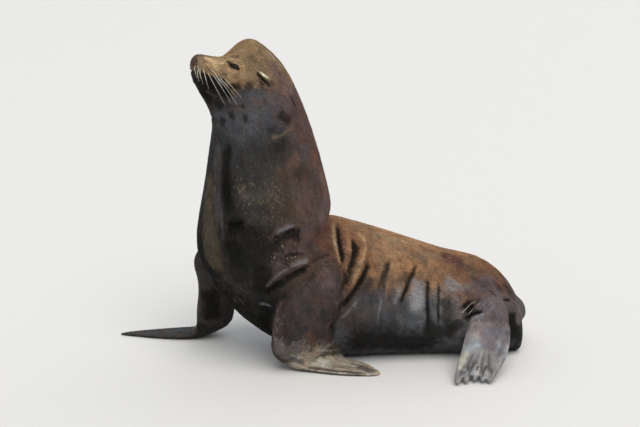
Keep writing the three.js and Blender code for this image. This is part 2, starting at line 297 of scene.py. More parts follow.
def per_part(values, fallback):
    """One value for each point, from its part's name."""
    found = np.full(len(part_of), float(fallback))
    for name, value in values.items():
        found = np.where(belongs(name) > 0, value, found)
    return found


print("the net lies on", len(np.unique(part_of)), "of", len(PARTS), "solids")

# %% [markdown]
# ## From facets to flesh
# The solids have flat facets, as a carved block has. Evening out rounds them off, but it also
# shrinks the form a little, so the part of the loss that is smooth is measured and put back.
# Ankles and wrists, where two solids meet, are evened once more. Then the skin sinks below the
# solids by the depth of its coat.

# %% Even out the skin and let it sink
PART_SKIN = {
    # part: how strongly its skin is evened out, and how deep its coat is in metres
    "head": (0.07, 0.0022),
    "nose": (0.05, 0.0002),
    "ear": (0.03, 0.0006),
    "eye": (0.05, 0.0010),
    "tail": (0.15, 0.0012),
    "fore_arm": (0.35, 0.0030),
    "ankle": (0.4, 0.0022),
    "fore_flipper": (0.05, 0.0007),
    "hind_flipper": (0.05, 0.0007),
}
BODY_EVENING, BODY_COAT = 0.6, 0.0045
BLENDING = 12  # rounds in which one part's value passes into the next one's
FORM_ROUNDS, JOIN_ROUNDS, LOSS_ROUNDS = 110, 90, 60
ANKLE_ABOVE, WRIST_ABOVE = 0.19, 0.03  # the joins are evened over these heights

evening, coat_depth = ({name: row[k] for name, row in PART_SKIN.items()} for k in (0, 1))
strength = net.even(per_part(evening, BODY_EVENING), BLENDING)
even_points = net.even(points, FORM_ROUNDS, strength)
on_ankle, on_hand = net.even(belongs("ankle"), 25), net.even(belongs("fore_flipper"), 20)
joins = on_ankle * (1 - on_ankle) * (points[:, 2] > ANKLE_ABOVE)
joins += on_hand * (1 - on_hand) * (points[:, 2] > WRIST_ABOVE)
even_points = net.even(even_points, JOIN_ROUNDS, BODY_EVENING * np.clip(joins * 6, 0, 1))
put_points(skin.data, even_points)
outward = normals_of(skin.data)
lost = ((points - even_points) * outward).sum(1)
kept = net.even(lost, LOSS_ROUNDS, strength)
depth = net.even(per_part(coat_depth, BODY_COAT), BLENDING) - LET_OUT
put_points(skin.data, even_points + outward * (kept - depth)[:, None])
print("evened skin; the mean loss put back is", round(float(kept.mean()) * 1000, 2), "mm")

# %% [markdown]
# ## The animal's own axis
# Left and right, back and belly are only clear along the animal's own bent line, from the nose
# over the crown, down the neck and along the trunk. The line is given as a few named slices: the
# middle of each in metres, how many degrees it leans back, and how many it is turned to the left.
# Mirroring across this line carries a fold or a marking from one flank to the other.

# %% The axis and its slices
AXIS = {
    "nose": ((-0.856, -0.238, 1.281), 0, 16),
    "muzzle": ((-0.795, -0.214, 1.237), 20, 16),
    "brow": ((-0.739, -0.195, 1.203), 18, 18),
    "crown": ((-0.694, -0.178, 1.173), 22, 22),
    "nape": ((-0.643, -0.164, 1.086), 36, 29),
    "mid_neck": ((-0.600, -0.155, 0.940), 55, 34),
    "lower_neck": ((-0.583, -0.152, 0.834), 68, 36),
    "withers": ((-0.573, -0.150, 0.707), 79, 36),
    "back_fold": ((-0.580, -0.146, 0.540), 73, 36),
    "girth": ((-0.468, -0.120, 0.406), 48, 26),
    "ribs": ((-0.305, -0.066, 0.301), 22, 13),
    "loin": ((-0.065, -0.014, 0.255), 5, 3),
    "flank": ((0.217, 0.000, 0.210), 0, 0),
    "hip": ((0.370, 0.000, 0.190), 0, 0),
    "rump": ((0.486, 0.000, 0.150), 0, 0),
    "rear": ((0.551, 0.000, 0.090), 0, 0),
}
STEPS = 10
CHUNK = 20000  # points measured at once, to spare memory


def between(rows, steps):
    """Rows of numbers with more rows put evenly between them."""
    rows = np.asarray(rows, float)
    wanted = np.linspace(0, len(rows) - 1, (len(rows) - 1) * steps + 1)
    return np.stack([np.interp(wanted, np.arange(len(rows)), column) for column in rows.T], 1)


def softened(rows, rounds):
    """Rows of numbers evened out along the list, with both ends kept."""
    for _ in range(rounds):
        rows = np.concatenate([rows[:1], (rows[:-2] + 2 * rows[1:-1] + rows[2:]) / 4, rows[-1:]])
    return rows


def unit(vectors):
    return vectors / np.maximum(np.linalg.norm(vectors, axis=-1, keepdims=True), 1e-9)


axis_rows = between([[*middle, lean, turn] for middle, lean, turn in AXIS.values()], STEPS)
axis_rows = softened(axis_rows, 12)
axis_middle = axis_rows[:, :3]
axis_lean, axis_turn = np.radians(axis_rows[:, 3]), np.radians(axis_rows[:, 4])
cos_turn, sin_turn, sin_lean = np.cos(axis_turn), np.sin(axis_turn), np.sin(axis_lean)
axis_right = np.stack([-sin_turn, cos_turn, np.zeros(len(axis_rows))], 1)
axis_back = np.stack([cos_turn * sin_lean, sin_turn * sin_lean, np.cos(axis_lean)], 1)
axis_along = unit(np.gradient(axis_middle, axis=0))
axis_length = np.concatenate([[0], np.cumsum(np.linalg.norm(np.diff(axis_middle, axis=0), axis=1))])
AT = dict(zip(AXIS, axis_length[::STEPS]))
print("the axis is", round(float(axis_length[-1]), 2), "m long")


def on_axis(points, blur=0.035):
    """For each point: the axis' length, middle, back, right and onward directions beside it."""
    table = np.concatenate([axis_length[:, None], axis_middle, axis_back, axis_right, axis_along], 1)
    found = []
    for first in range(0, len(points), CHUNK):
        some = points[first : first + CHUNK]
        gap = np.linalg.norm(some[:, None, :] - axis_middle[None], axis=2) ** 2
        share = np.exp(-(gap - gap.min(1, keepdims=True)) / blur**2)
        found.append((share / share.sum(1, keepdims=True)) @ table)
    found = np.concatenate(found)
    return found[:, 0], found[:, 1:4], unit(found[:, 4:7]), unit(found[:, 7:10]), unit(found[:, 10:13])


def mirrored(points):
    """The same places on the animal's other side, before they are set on its skin."""
    _, middle, _, right, _ = on_axis(points)
    return points - 2 * ((points - middle) * right).sum(1, keepdims=True) * right


# %% [markdown]
# ## A finer net on the head
# A net of five millimetres is fine for a flank, but an eyelid or a nostril needs one or two. The
# faces of the head are cut into four once, and those round the eyes, the ears, the nose and the
# lips once more. Blender's subdivide operator keeps the net closed where fine meets coarse. An
# ear is a thin leaf, so its outer side is then drawn in towards the line along its middle.

# %% Cut the head's faces finer
HEAD_SIDE = -1, 1  # the animal's left and right, along the axis' right direction
EYE_RADIUS = 0.024
FACE_LONG, FACE_LOW = 0.23, 1.10  # from the nose back, and up from the floor
NEAR_EYE, NEAR_EAR, NEAR_NOSE = 0.040, 0.045, 0.062
EAR_REACH, EAR_SLIM, EAR_EDGE = 0.06, 0.42, 0.006

eye_middle = {}
for side, name in zip(HEAD_SIDE, EYES):
    low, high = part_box(name)
    eye_middle[side] = (low + high) / 2
ear_middle = [sum(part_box(name), Vector()) / 2 for name in ("ear_left", "ear_right")]
nose_low, nose_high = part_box("nose")
nose_middle = (nose_low + nose_high) / 2
head_turn = math.radians(AXIS["nose"][2])
FORWARD = Vector((-math.cos(head_turn), -math.sin(head_turn), 0))
RIGHT = Vector((-math.sin(head_turn), math.cos(head_turn), 0))
UP = Vector((0, 0, 1))


def cut_finer(form, near):
    """Cuts the faces whose middle passes a test into four."""
    chosen = [face for face in form.faces if near(face.calc_center_median())]
    edges = {edge for face in chosen for edge in face.edges}
    bmesh.ops.subdivide_edges(form, edges=list(edges), cuts=1, use_grid_fill=True)


def on_face(place):
    """True from the nose back to behind the eyes."""
    behind = (place - nose_middle).dot(-FORWARD)
    return place.z > FACE_LOW and behind < FACE_LONG


def on_features(place):
    """True close to an eye, on the nose, the lips and the ears."""
    eyes = min((place - middle).length for middle in eye_middle.values()) < NEAR_EYE
    ears = min((place - middle).length for middle in ear_middle) < NEAR_EAR
    lips = (place - nose_middle).length < NEAR_NOSE
    return eyes or ears or lips


finer = bmesh.new()
finer.from_mesh(skin.data)
cut_finer(finer, on_face)
cut_finer(finer, on_features)
finer.to_mesh(skin.data)
finer.free()
net = Evener(skin.data)
points = points_of(skin.data)
part_of = part_numbers(points)
on_ear = net.even(belongs("ear"), 3)
for side, middle in zip(HEAD_SIDE, ear_middle):
    gap = np.linalg.norm(points - np.array(middle), axis=1)
    mine = np.flatnonzero((on_ear > 0.02) & (gap < EAR_REACH))
    own = points[mine]
    away = own - np.average(own, axis=0, weights=on_ear[mine])
    long_way = np.linalg.eigh((away * on_ear[mine][:, None]).T @ away)[1][:, 2]
    beside = away - (away @ long_way)[:, None] * long_way
    outward_share = np.clip(beside @ np.array(RIGHT) * side / EAR_EDGE + 0.5, 0, 1)
    slim = beside - np.array(RIGHT) * (beside @ np.array(RIGHT))[:, None]
    points[mine] = own - slim * (EAR_SLIM * on_ear[mine] * outward_share)[:, None]
points = net.even(points, 4, 0.4 * belongs("head", "nose", "ear", "eye"))
put_points(skin.data, points)
print("the finer net has", len(points), "points")

# %% [markdown]
# ## Eyes and their lids
# A sea lion's eye is a dark wet ball, and under the strong brow only an almond of it shows. The
# ball is a plain UV sphere. The skin round it is drawn onto a slightly larger ball, and where the
# almond opens it sinks behind the eye, so each lid is a real edge with the ball under it.

# %% Set the lids round the eyes
SLANT = math.radians(27)  # how far the slit falls from its front corner to its rear one
SLIT_HALF = 0.0255
SLIT_UPPER, SLIT_LOWER = 0.0155, 0.0045  # how high the lids open over and under the corners' line
SLIT_AHEAD, SLIT_RAISED = 0.0085, 0.0010  # the slit's middle, seen from the ball's
EYE_LOOKS = 0.88, 0.42, 0.17  # how far an eye looks aside, ahead and up
EYE_REACH = 0.060
LID_THICK = 0.0016
LID_EDGE = 0.0010, 0.003, 0.0020  # a ridge round the slit: its height, how far out, how wide
LID_FOLD = 0.0016, 0.010, 0.0028
LID_BAG = 0.0012, 0.012, 0.0030
LID_BLEND = 0.007, 0.022  # how far from the slit the lids follow the ball fully, and not at all
SLIT_SINK = 0.0045  # how far under the ball the skin lies inside the slit
RIM_WIDE, RIM_SINK = 0.0014, 0.0012  # the rim of the slit lies higher than that
CORNEA_RISE, CORNEA_START, CORNEA_WIDE = 0.035, 0.82, 0.18


def smooth_step(low, high, values):
    share = np.clip((values - low) / (high - low), 0, 1)
    return share * share * (3 - 2 * share)


def eye_frame(side):
    """The outward direction of an eye, the line of its slit to the rear, and the line across it."""
    aside, ahead, up = EYE_LOOKS
    outward = (RIGHT * side * aside + FORWARD * ahead + UP * up).normalized()
    slit = -FORWARD * math.cos(SLANT) - UP * math.sin(SLANT)
    slit = (slit - outward * slit.dot(outward)).normalized()
    across = UP - outward * UP.dot(outward)
    across = (across - slit * across.dot(slit)).normalized()
    return outward, slit, across


def beside_slit(places, side):
    """Each place seen from an eye: how far outside its slit, above it and out, and the way there."""
    outward, slit, across = (np.array(v) for v in eye_frame(side))
    away = places - np.array(eye_middle[side])
    along, over, out = away @ slit + SLIT_AHEAD, away @ across - SLIT_RAISED, away @ outward
    share = np.clip((along / SLIT_HALF + 1) / 2, 0, 1)  # 0 at the front corner, 1 at the rear one
    upper = SLIT_UPPER * share**0.9 * (1 - share**5)
    lower = SLIT_LOWER * (1 - np.abs(2 * share - 1) ** 2.4)
    past = np.maximum(np.abs(along) - SLIT_HALF, 0)
    between_lids = np.abs(over - (upper - lower) / 2) - (upper + lower) / 2
    outside = np.where(past > 0, np.hypot(past, over), between_lids)
    return outside, over, out, away


def beside_eye(places, side, full, none):
    """1 on an eye's slit, falling softly to 0 between two distances from it."""
    outside, _, out, away = beside_slit(places, side)
    close = (np.linalg.norm(away, axis=1) < EYE_REACH) & (out > 0)
    return np.where(close, 1 - smooth_step(full, none, outside), 0)


def ridge(distance, height, middle, width):
    """The height of a rounded ridge at each distance from a line."""
    return height * np.exp(-(((distance - middle) / width) ** 2))


for side in HEAD_SIDE:
    outside, over, out, away = beside_slit(points, side)
    facing = (out > 0.2 * EYE_RADIUS) & (np.linalg.norm(away, axis=1) < EYE_REACH)
    fold = ridge(outside, *LID_FOLD) * (over > -0.004)
    bag = ridge(outside, *LID_BAG) * (over < 0.002)
    lid = EYE_RADIUS + LID_THICK + ridge(outside, *LID_EDGE) - fold - bag
    onto = lid + np.clip(outside - 0.006, 0, 1) * 0.10
    onto = np.where(outside < 0, EYE_RADIUS - SLIT_SINK, onto)
    onto = np.where((outside > -RIM_WIDE) & (outside < 0), EYE_RADIUS - RIM_SINK, onto)
    share = np.where(facing, 1 - smooth_step(*LID_BLEND, outside), 0)
    target = np.array(eye_middle[side]) + unit(away) * onto[:, None]
    points = points + share[:, None] * (target - points)
put_points(skin.data, points)


def eyeball(name, side):
    """A ball with a slightly raised cornea where it looks out."""
    form = bmesh.new()
    bmesh.ops.create_uvsphere(form, u_segments=64, v_segments=40, radius=EYE_RADIUS)
    outward = eye_frame(side)[0]
    for vert in form.verts:
        facing = vert.co.normalized().z
        vert.co *= 1 + CORNEA_RISE * max(0, (facing - CORNEA_START) / CORNEA_WIDE) ** 1.5
    turn = outward.to_track_quat("Z", "Y").to_matrix().to_4x4()
    bmesh.ops.transform(form, matrix=turn, verts=form.verts)
    bmesh.ops.translate(form, vec=eye_middle[side], verts=form.verts)
    mesh = into_mesh(form, name)
    shade_smooth(mesh)
    ball = in_scene(name, mesh)
    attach(ball, "root")
    return ball


eyeballs = [eyeball("eyeball_left", -1), eyeball("eyeball_right", 1)]
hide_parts("eye_left")
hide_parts("eye_right")
print("set", len(eyeballs), "eyes of", 2000 * EYE_RADIUS, "mm behind their lids")

# %% [markdown]
# ## Finding a place on the skin
# Folds and markings are placed as a sculptor places them: a short path of picture
# coordinates is sent out from the camera and lands on the skin. A path can then be mirrored to
# the animal's other side, where it is set on the skin again.

# %% From the picture to the skin
STEP_MIN, STEP_MAX = 0.003, 0.09  # farther than this, a path has left the form it was on
FADED = 2.6  # at this many reaches from a path its share is nearly nothing
TAPER = 0.28  # the part of a long path over which each end comes in


def skin_tree():
    shown = bpy.context.evaluated_depsgraph_get()
    return BVHTree.FromObject(skin, shown)


def onto_skin(tree, rows):
    """The skin's nearest place for each row."""
    return np.array([list(tree.find_nearest(Vector(row))[0]) for row in rows])


def seen(tree, across, down):
    """The place of the skin that the camera sees at a picture coordinate, or None."""
    return tree.ray_cast(CAMERA_PLACE, sight_line(across, down))[0]


def path_on_skin(tree, path):
    """A picture path as a row of places on the skin, a few millimetres apart."""
    rows = between(path, 12) if len(path) > 1 else np.array(path, float)
    rows = softened(rows, 5) if len(rows) > 2 else rows
    found = [seen(tree, *row) for row in rows]
    found = [place for place in found if place is not None]
    kept_places = found[:1]
    for place in found[1:]:
        if STEP_MIN < (place - kept_places[-1]).length < STEP_MAX:
            kept_places.append(place)
    return np.array([list(place) for place in kept_places])


def across_body(tree, places):
    """Places carried to the animal's other side and set on the skin there."""
    return onto_skin(tree, mirrored(places))


def nearness(points, places, reach, ends=True):
    """1 on a path, falling softly to 0 at about twice its reach; the ends of a long path taper."""
    result = np.zeros(len(points))
    if not len(places):
        return result
    low, high = places.min(0) - FADED * reach, places.max(0) + FADED * reach
    inside = np.flatnonzero(((points > low) & (points < high)).all(1))
    if not len(inside):
        return result
    some = points[inside]
    nearest, share = np.full(len(some), np.inf), np.full(len(some), 0.5)
    pieces = max(len(places) - 1, 1)
    for number in range(pieces):
        start, end = places[number], places[min(number + 1, len(places) - 1)]
        span = end - start
        onward = np.clip((some - start) @ span / max(span @ span, 1e-12), 0, 1)
        gap = np.linalg.norm(some - start - onward[:, None] * span, axis=1)
        closer = gap < nearest
        nearest = np.where(closer, gap, nearest)
        share = np.where(closer, (number + onward) / pieces, share)
    closeness = np.exp(-((nearest / reach) ** 2))
    if ends and len(places) > 5:
        closeness = closeness * smooth_step(0, TAPER, np.minimum(share, 1 - share) + 0.03)
    result[inside] = closeness
    return result


print("a path's places are at least", 1000 * STEP_MIN, "mm apart")

# %% [markdown]
# ## Folds of the face
# The hide of the face is thin and follows the bone: lips that meet in a long line, full pads where
# the whiskers grow, a hollow before each eye and a crease under the jaw. Each form is a path, how
# far it reaches to its sides, and how far it lifts the skin. A minus sign presses it in. A form is
# mirrored to the far side, unless it is only "here"; a "faint" one is weaker there, and one that
# "meets" runs on over the animal's front.

# %% Press and lift the face
FACE_FORMS = {
    "mouth line": ([(193, 72), (198, 79), (206, 85), (215, 89), (225, 91)], 0.0034, -0.0075, "meets"),
    "corner of the mouth": ([(223, 91), (228, 94), (231, 98)], 0.006, -0.004),
    "upper lip": ([(196, 72), (203, 78), (212, 83), (222, 86)], 0.008, 0.003),
    "lower lip": ([(197, 83), (205, 89), (214, 94), (222, 96)], 0.008, 0.003, "meets"),
    "hollow beside the chin": ([(199, 90), (208, 96), (219, 100)], 0.010, -0.005),
    "whisker pad": ([(200, 67), (208, 71), (217, 76)], 0.020, 0.004),
    "edge of the nose leather": ([(201, 55), (200, 61), (198, 67), (194, 70)], 0.0028, -0.0018),
    "nostril": ([(194.5, 57.5), (196, 60.5), (195.5, 64)], 0.0032, -0.008),
    "wing of the nostril": ([(197.5, 57), (199, 61), (197.5, 65)], 0.0045, 0.002),
    "bridge groove": ([(203, 61), (212, 63), (221, 64)], 0.008, -0.0025),
    "hollow before the eye": ([(224, 63), (227, 66)], 0.012, -0.0045),
    "brow": ([(226, 57), (233, 56), (241, 60)], 0.009, 0.0035),
    "cheekbone": ([(230, 74), (240, 77), (249, 77)], 0.012, 0.003),
    "cheek hollow": ([(233, 84), (241, 91), (247, 98)], 0.019, -0.005),
    "jaw crease": ([(212, 103), (219, 105), (230, 107), (244, 106)], 0.011, -0.006),
    "jaw angle": ([(228, 97), (238, 98)], 0.018, 0.004),
    "before the ear": ([(255, 69), (258, 76), (262, 82)], 0.006, -0.004),
    "under the ear": ([(262, 84), (270, 91)], 0.010, -0.004),
    "roll of the ear": ([(258, 73), (262, 78), (266, 82)], 0.0034, -0.006),
}


FAINT = 0.5  # how much of a faint fold or mark the other side shows
LINK_AHEAD = 0.015  # how far a path that meets its mirror swings out before the animal


def front_link(tree, left, right):
    """A short path over the animal's front that joins the first places of two mirrored paths."""
    middle = (left[0] + right[0]) / 2 + np.array(FORWARD) * LINK_AHEAD
    return onto_skin(tree, softened(between([left[0], middle, right[0]], 8), 3))


def all_paths(tree, path, where):
    """A picture path on the near side, with its mirror unless it is only here."""
    left = path_on_skin(tree, path)
    if not len(left) or "here" in where:
        return [left]
    right = across_body(tree, left)
    if "meets" in where:
        link = front_link(tree, left, right)
        return [np.concatenate([left[::-1], link[1:-1], right])]
    return [left, right]


def shared_paths(tree, path, where):
    """The same, each with its share of the strength: a faint one is weaker on the other side."""
    return zip(all_paths(tree, path, where), (1, FAINT if "faint" in where else 1))


def press_and_lift(forms, points):
    """Moves the skin along its normals by every form in the list, all measured before any moves."""
    tree = skin_tree()
    lift = np.zeros(len(points))
    for path, reach, height, *where in forms.values():
        for places, share in shared_paths(tree, path, where):
            lift += height * share * nearness(points, places, reach)
    return points + normals_of(skin.data) * net.even(lift, 2, 0.5)[:, None]


points = press_and_lift(FACE_FORMS, points)
put_points(skin.data, points)
print("pressed", len(FACE_FORMS), "forms into the face")

# %% [markdown]
# ## Folds of the body
# Under the hide lies a hand's breadth of fat. Where the neck bends back over the trunk, where the
# arm meets the chest and where the flank is squeezed, it gathers in folds. They are made the same
# way as the face's, only wider and deeper. Last, both wrists are evened out where arm and flipper
# join.

# %% Press and lift the body
BODY_FOLDS = {
    "fold behind the head": ([(284, 89), (291, 98), (297, 110)], 0.007, -0.005),
    "dent of the neck": ([(277, 114), (284, 118), (291, 123)], 0.016, -0.007, "faint"),
    "line over the neck": ([(268, 139), (282, 135), (299, 122)], 0.006, 0.0035, "faint"),
    "throat fold": ([(215, 121), (222, 122), (229, 119), (236, 114), (248, 117)], 0.009, -0.004, "meets"),
    "hollow of the breast": (
        [(231, 128), (227, 150), (226, 175), (228, 205), (232, 225)],
        0.018, -0.008, "here",
    ),
    "far breast ridge": ([(218, 128), (216, 155), (215, 185), (217, 215)], 0.014, 0.004, "here"),
    "upper breast crease": ([(222, 223), (232, 226), (240, 224), (248, 221)], 0.011, -0.012, "here"),
    "side ridge": ([(274, 236), (283, 230), (297, 223)], 0.008, 0.008, "faint"),
    "side crease": ([(271, 240), (280, 235), (291, 231), (304, 230)], 0.010, -0.0156, "faint"),
    "crease over the armpit": ([(284, 257), (295, 254), (307, 254)], 0.006, -0.007, "faint"),
    "armpit ridge": ([(265, 287), (275, 277), (285, 270), (297, 265), (311, 260)], 0.007, 0.0078, "faint"),
    "armpit crease": (
        [(263, 297), (272, 288), (281, 281), (291, 275), (302, 270), (313, 263)],
        0.008, -0.0156,
    ),
    "crease over the arm": ([(309, 265), (319, 258), (334, 253)], 0.006, -0.005),
    "low breast ridge": ([(257, 304), (266, 304), (273, 307)], 0.005, 0.004, "here"),
    "low breast crease": ([(257, 309), (265, 309), (274, 314)], 0.007, -0.007, "here"),
    "edge of the far breast": ([(206, 269), (214, 286), (221, 300), (226, 310)], 0.006, 0.005, "here"),
    "fold of the nape": (
        [(336, 219), (338, 240), (342, 258), (345, 275), (342, 292), (335, 304)],
        0.009, -0.016, "here",
    ),
    "second fold of the nape": ([(351, 236), (354, 250), (352, 262), (346, 274)], 0.0085, -0.013, "here"),
    "ridge behind the arm": (
        [(363, 232), (366, 248), (361, 266), (353, 284), (343, 298)],
        0.008, 0.0085, "faint",
    ),
    "fold behind the arm": (
        [(371, 254), (366, 270), (358, 286), (348, 300), (336, 313)],
        0.010, -0.0168, "faint",
    ),
    "crease along the arm": ([(343, 299), (335, 312), (331, 328), (330, 344)], 0.009, -0.012, "here"),
    "line of the ribs": ([(339, 321), (350, 310), (362, 295)], 0.005, 0.003, "faint"),
    "first flank fold": ([(387, 259), (383, 276), (377, 294)], 0.007, -0.011, "faint"),
    "first flank ridge": ([(393, 256), (391, 270), (387, 285), (385, 303)], 0.006, 0.005),
    "low flank ridge": ([(376, 329), (379, 312), (382, 295)], 0.005, 0.003, "faint"),
    "second flank fold": ([(417, 263), (412, 275), (407, 287), (403, 298)], 0.008, -0.015, "faint"),
    "third flank fold": ([(409, 284), (404, 294), (399, 305)], 0.005, -0.01, "faint"),
    "fourth flank fold": ([(427.5, 277), (427.5, 300), (427.5, 328)], 0.007, -0.015, "faint"),
    "fourth flank ridge": ([(433, 276), (434, 300), (436, 327)], 0.005, 0.004, "faint"),
    "fifth flank fold": ([(439, 279), (439, 300), (439, 328)], 0.005, -0.01, "faint"),
    "sixth flank fold": ([(450, 283), (449, 300), (448, 318)], 0.008, -0.004),
    "hollow of the thigh": ([(458, 313), (465, 306), (472, 302), (481, 299)], 0.009, -0.0168, "faint"),
    "hair ridge of the thigh": ([(461, 314), (470, 306), (479, 300)], 0.0035, 0.005, "faint"),
    "crease of the thigh": ([(462, 319), (472, 313), (486, 310)], 0.006, -0.0096, "faint"),
    "line of the hip": ([(485, 288), (492, 292), (499, 299)], 0.005, -0.005),
    "hollow before the tail": ([(502, 299), (511, 300)], 0.008, -0.01),
    "gap behind the heel": ([(509, 307), (511, 320), (510, 336)], 0.007, -0.006),
}
WRISTS = {
    "left": [(-0.36, -0.31, 0.085), (-0.33, -0.30, 0.090), (-0.30, -0.30, 0.095)],
    "right": [(-0.86, 0.10, 0.080), (-0.90, 0.10, 0.075)],
}
WRIST_REACH, WRIST_ROUNDS = 0.055, 160

points = press_and_lift(BODY_FOLDS, points)
for wrist in WRISTS.values():
    near = nearness(points, np.array(wrist), WRIST_REACH, ends=False)
    points = net.even(points, WRIST_ROUNDS, np.clip(near * 1.6, 0, 0.9))
put_points(skin.data, points)
print("pressed", len(BODY_FOLDS), "folds into the body and evened", len(WRISTS), "wrists")

# %% [markdown]
# ## Markings
# A bull's coat runs from a golden mask over mauve and russet on the nape to a near-black breast,
# and from amber on the back through blue grey on the wet flank to a black belly. The blue grey
# is a painted sheen on the wet hair, and the near-black of breast and belly is partly their own
# dark hair and partly painted shade on the underside. The ground colours are given for slices of
# the axis, from the back round the side to the belly, and every point of the skin mixes the four
# nearest. Patches and streaks are then laid over them by paths.

# %% Palette and ground colours
# Besides the coat's own colours, several of these serve as painted light: the pale greys, creams and
# straws for painted highlights and sheen, and soot, charcoal and belly for painted shade.
PALETTE = {
    "straw": (0.500, 0.345, 0.185),
    "tan": (0.330, 0.215, 0.115),
    "crown_tan": (0.270, 0.185, 0.105),
    "cream": (0.460, 0.390, 0.300),
    "nose_brown": (0.062, 0.034, 0.023),
    "sienna": (0.270, 0.150, 0.085),
    "soot": (0.0058, 0.0052, 0.0038),
    "charcoal": (0.050, 0.046, 0.043),
    "slate": (0.085, 0.083, 0.092),
    "mauve": (0.150, 0.096, 0.086),
    "russet": (0.180, 0.088, 0.064),
    "umber": (0.090, 0.062, 0.045),
    "olive_brown": (0.110, 0.080, 0.048),
    "amber": (0.400, 0.230, 0.125),
    "ginger": (0.270, 0.145, 0.078),
    "blue_grey": (0.200, 0.196, 0.200),
    "steel": (0.085, 0.084, 0.090),
    "pewter": (0.270, 0.275, 0.285),
    "bone": (0.480, 0.460, 0.390),
    # near black: partly the underside's own dark hair, partly painted shade
    "belly": (0.0105, 0.0098, 0.0075),
    "dusk": (0.150, 0.125, 0.130),
    "pale_straw": (0.680, 0.480, 0.270),
    "khaki": (0.150, 0.120, 0.082),
    "rose_mauve": (0.210, 0.132, 0.116),
    "plum": (0.082, 0.055, 0.051),
    "rust": (0.150, 0.076, 0.050),
    "fleck": (0.330, 0.290, 0.195),
    "ice": (0.380, 0.395, 0.410),
    "ivory": (0.740, 0.660, 0.480),
}
AROUND = (0, 45, 90, 135, 180)  # degrees from the back round to the belly
LATTICE = 32  # random values to a side
# Round from the back to the belly each slice darkens, partly the hair's own colour and partly painted
# shade on the underside; the flank's blue grey at its side is a painted sheen on wet hair.
GROUND = {
    "nose": ("nose_brown", "nose_brown", "nose_brown", "soot", "soot"),
    "muzzle": ("straw", "straw", "tan", "charcoal", "charcoal"),
    "brow": ("tan", "tan", "tan", "charcoal", "charcoal"),
    "crown": ("crown_tan", "crown_tan", "umber", "slate", "charcoal"),
    "nape": ("mauve", "mauve", "slate", "slate", "charcoal"),
    "mid_neck": ("russet", "mauve", "charcoal", "charcoal", "charcoal"),
    "lower_neck": ("russet", "mauve", "umber", "charcoal", "soot"),
    "withers": ("russet", "mauve", "umber", "charcoal", "soot"),
    "back_fold": ("ginger", "russet", "mauve", "charcoal", "soot"),
    "girth": ("ginger", "russet", "umber", "belly", "belly"),
    "ribs": ("amber", "ginger", "umber", "steel", "belly"),
    "loin": ("amber", "amber", "steel", "steel", "belly"),
    "flank": ("amber", "ginger", "blue_grey", "steel", "belly"),
    "hip": ("ginger", "russet", "dusk", "steel", "belly"),
    "rump": ("umber", "dusk", "dusk", "charcoal", "belly"),
    "rear": ("umber", "dusk", "steel", "soot", "belly"),
}


def colour(name):
    return np.array(PALETTE[name])


def cloud(places, size, seed):
    """Soft random values from -1 to 1 that change over about this size."""
    lattice = np.random.default_rng(seed).uniform(-1, 1, (LATTICE, LATTICE, LATTICE))
    scaled = places / size
    cell = np.floor(scaled).astype(int)
    share = smooth_step(0, 1, scaled - cell)
    total = np.zeros(len(places))
    for corner in np.ndindex(2, 2, 2):
        weight = np.where(corner, share, 1 - share).prod(1)
        total += weight * lattice[tuple(((cell + corner) % LATTICE).T)]
    return total


def ground_colours(places):
    """The coat's ground colour at each place, from where it lies along and round the axis."""
    length, middle, back, right, _ = on_axis(places)
    away = places - middle
    angle = np.degrees(np.arctan2(np.abs((away * right).sum(1)), (away * back).sum(1)))
    length = length + 0.022 * cloud(places, 0.11, 3) + 0.010 * cloud(places, 0.035, 4)
    angle = angle + 9 * cloud(places, 0.13, 5) + 5 * cloud(places, 0.04, 6)
    table = np.array([[colour(name) for name in row] for row in GROUND.values()])
    slices = np.interp(length, [AT[name] for name in GROUND], np.arange(len(GROUND)))
    turns = np.interp(angle, AROUND, np.arange(len(AROUND)))
    lower = np.minimum(slices.astype(int), len(GROUND) - 2)
    first = np.minimum(turns.astype(int), len(AROUND) - 2)
    share = smooth_step(0, 1, slices - lower)[:, None]
    turn = smooth_step(0, 1, turns - first)[:, None]
    here = table[lower, first] * (1 - turn) + table[lower, first + 1] * turn
    there = table[lower + 1, first] * (1 - turn) + table[lower + 1, first + 1] * turn
    return here * (1 - share) + there * share


print("mixed", len(PALETTE), "colours for", len(GROUND), "slices of the coat")
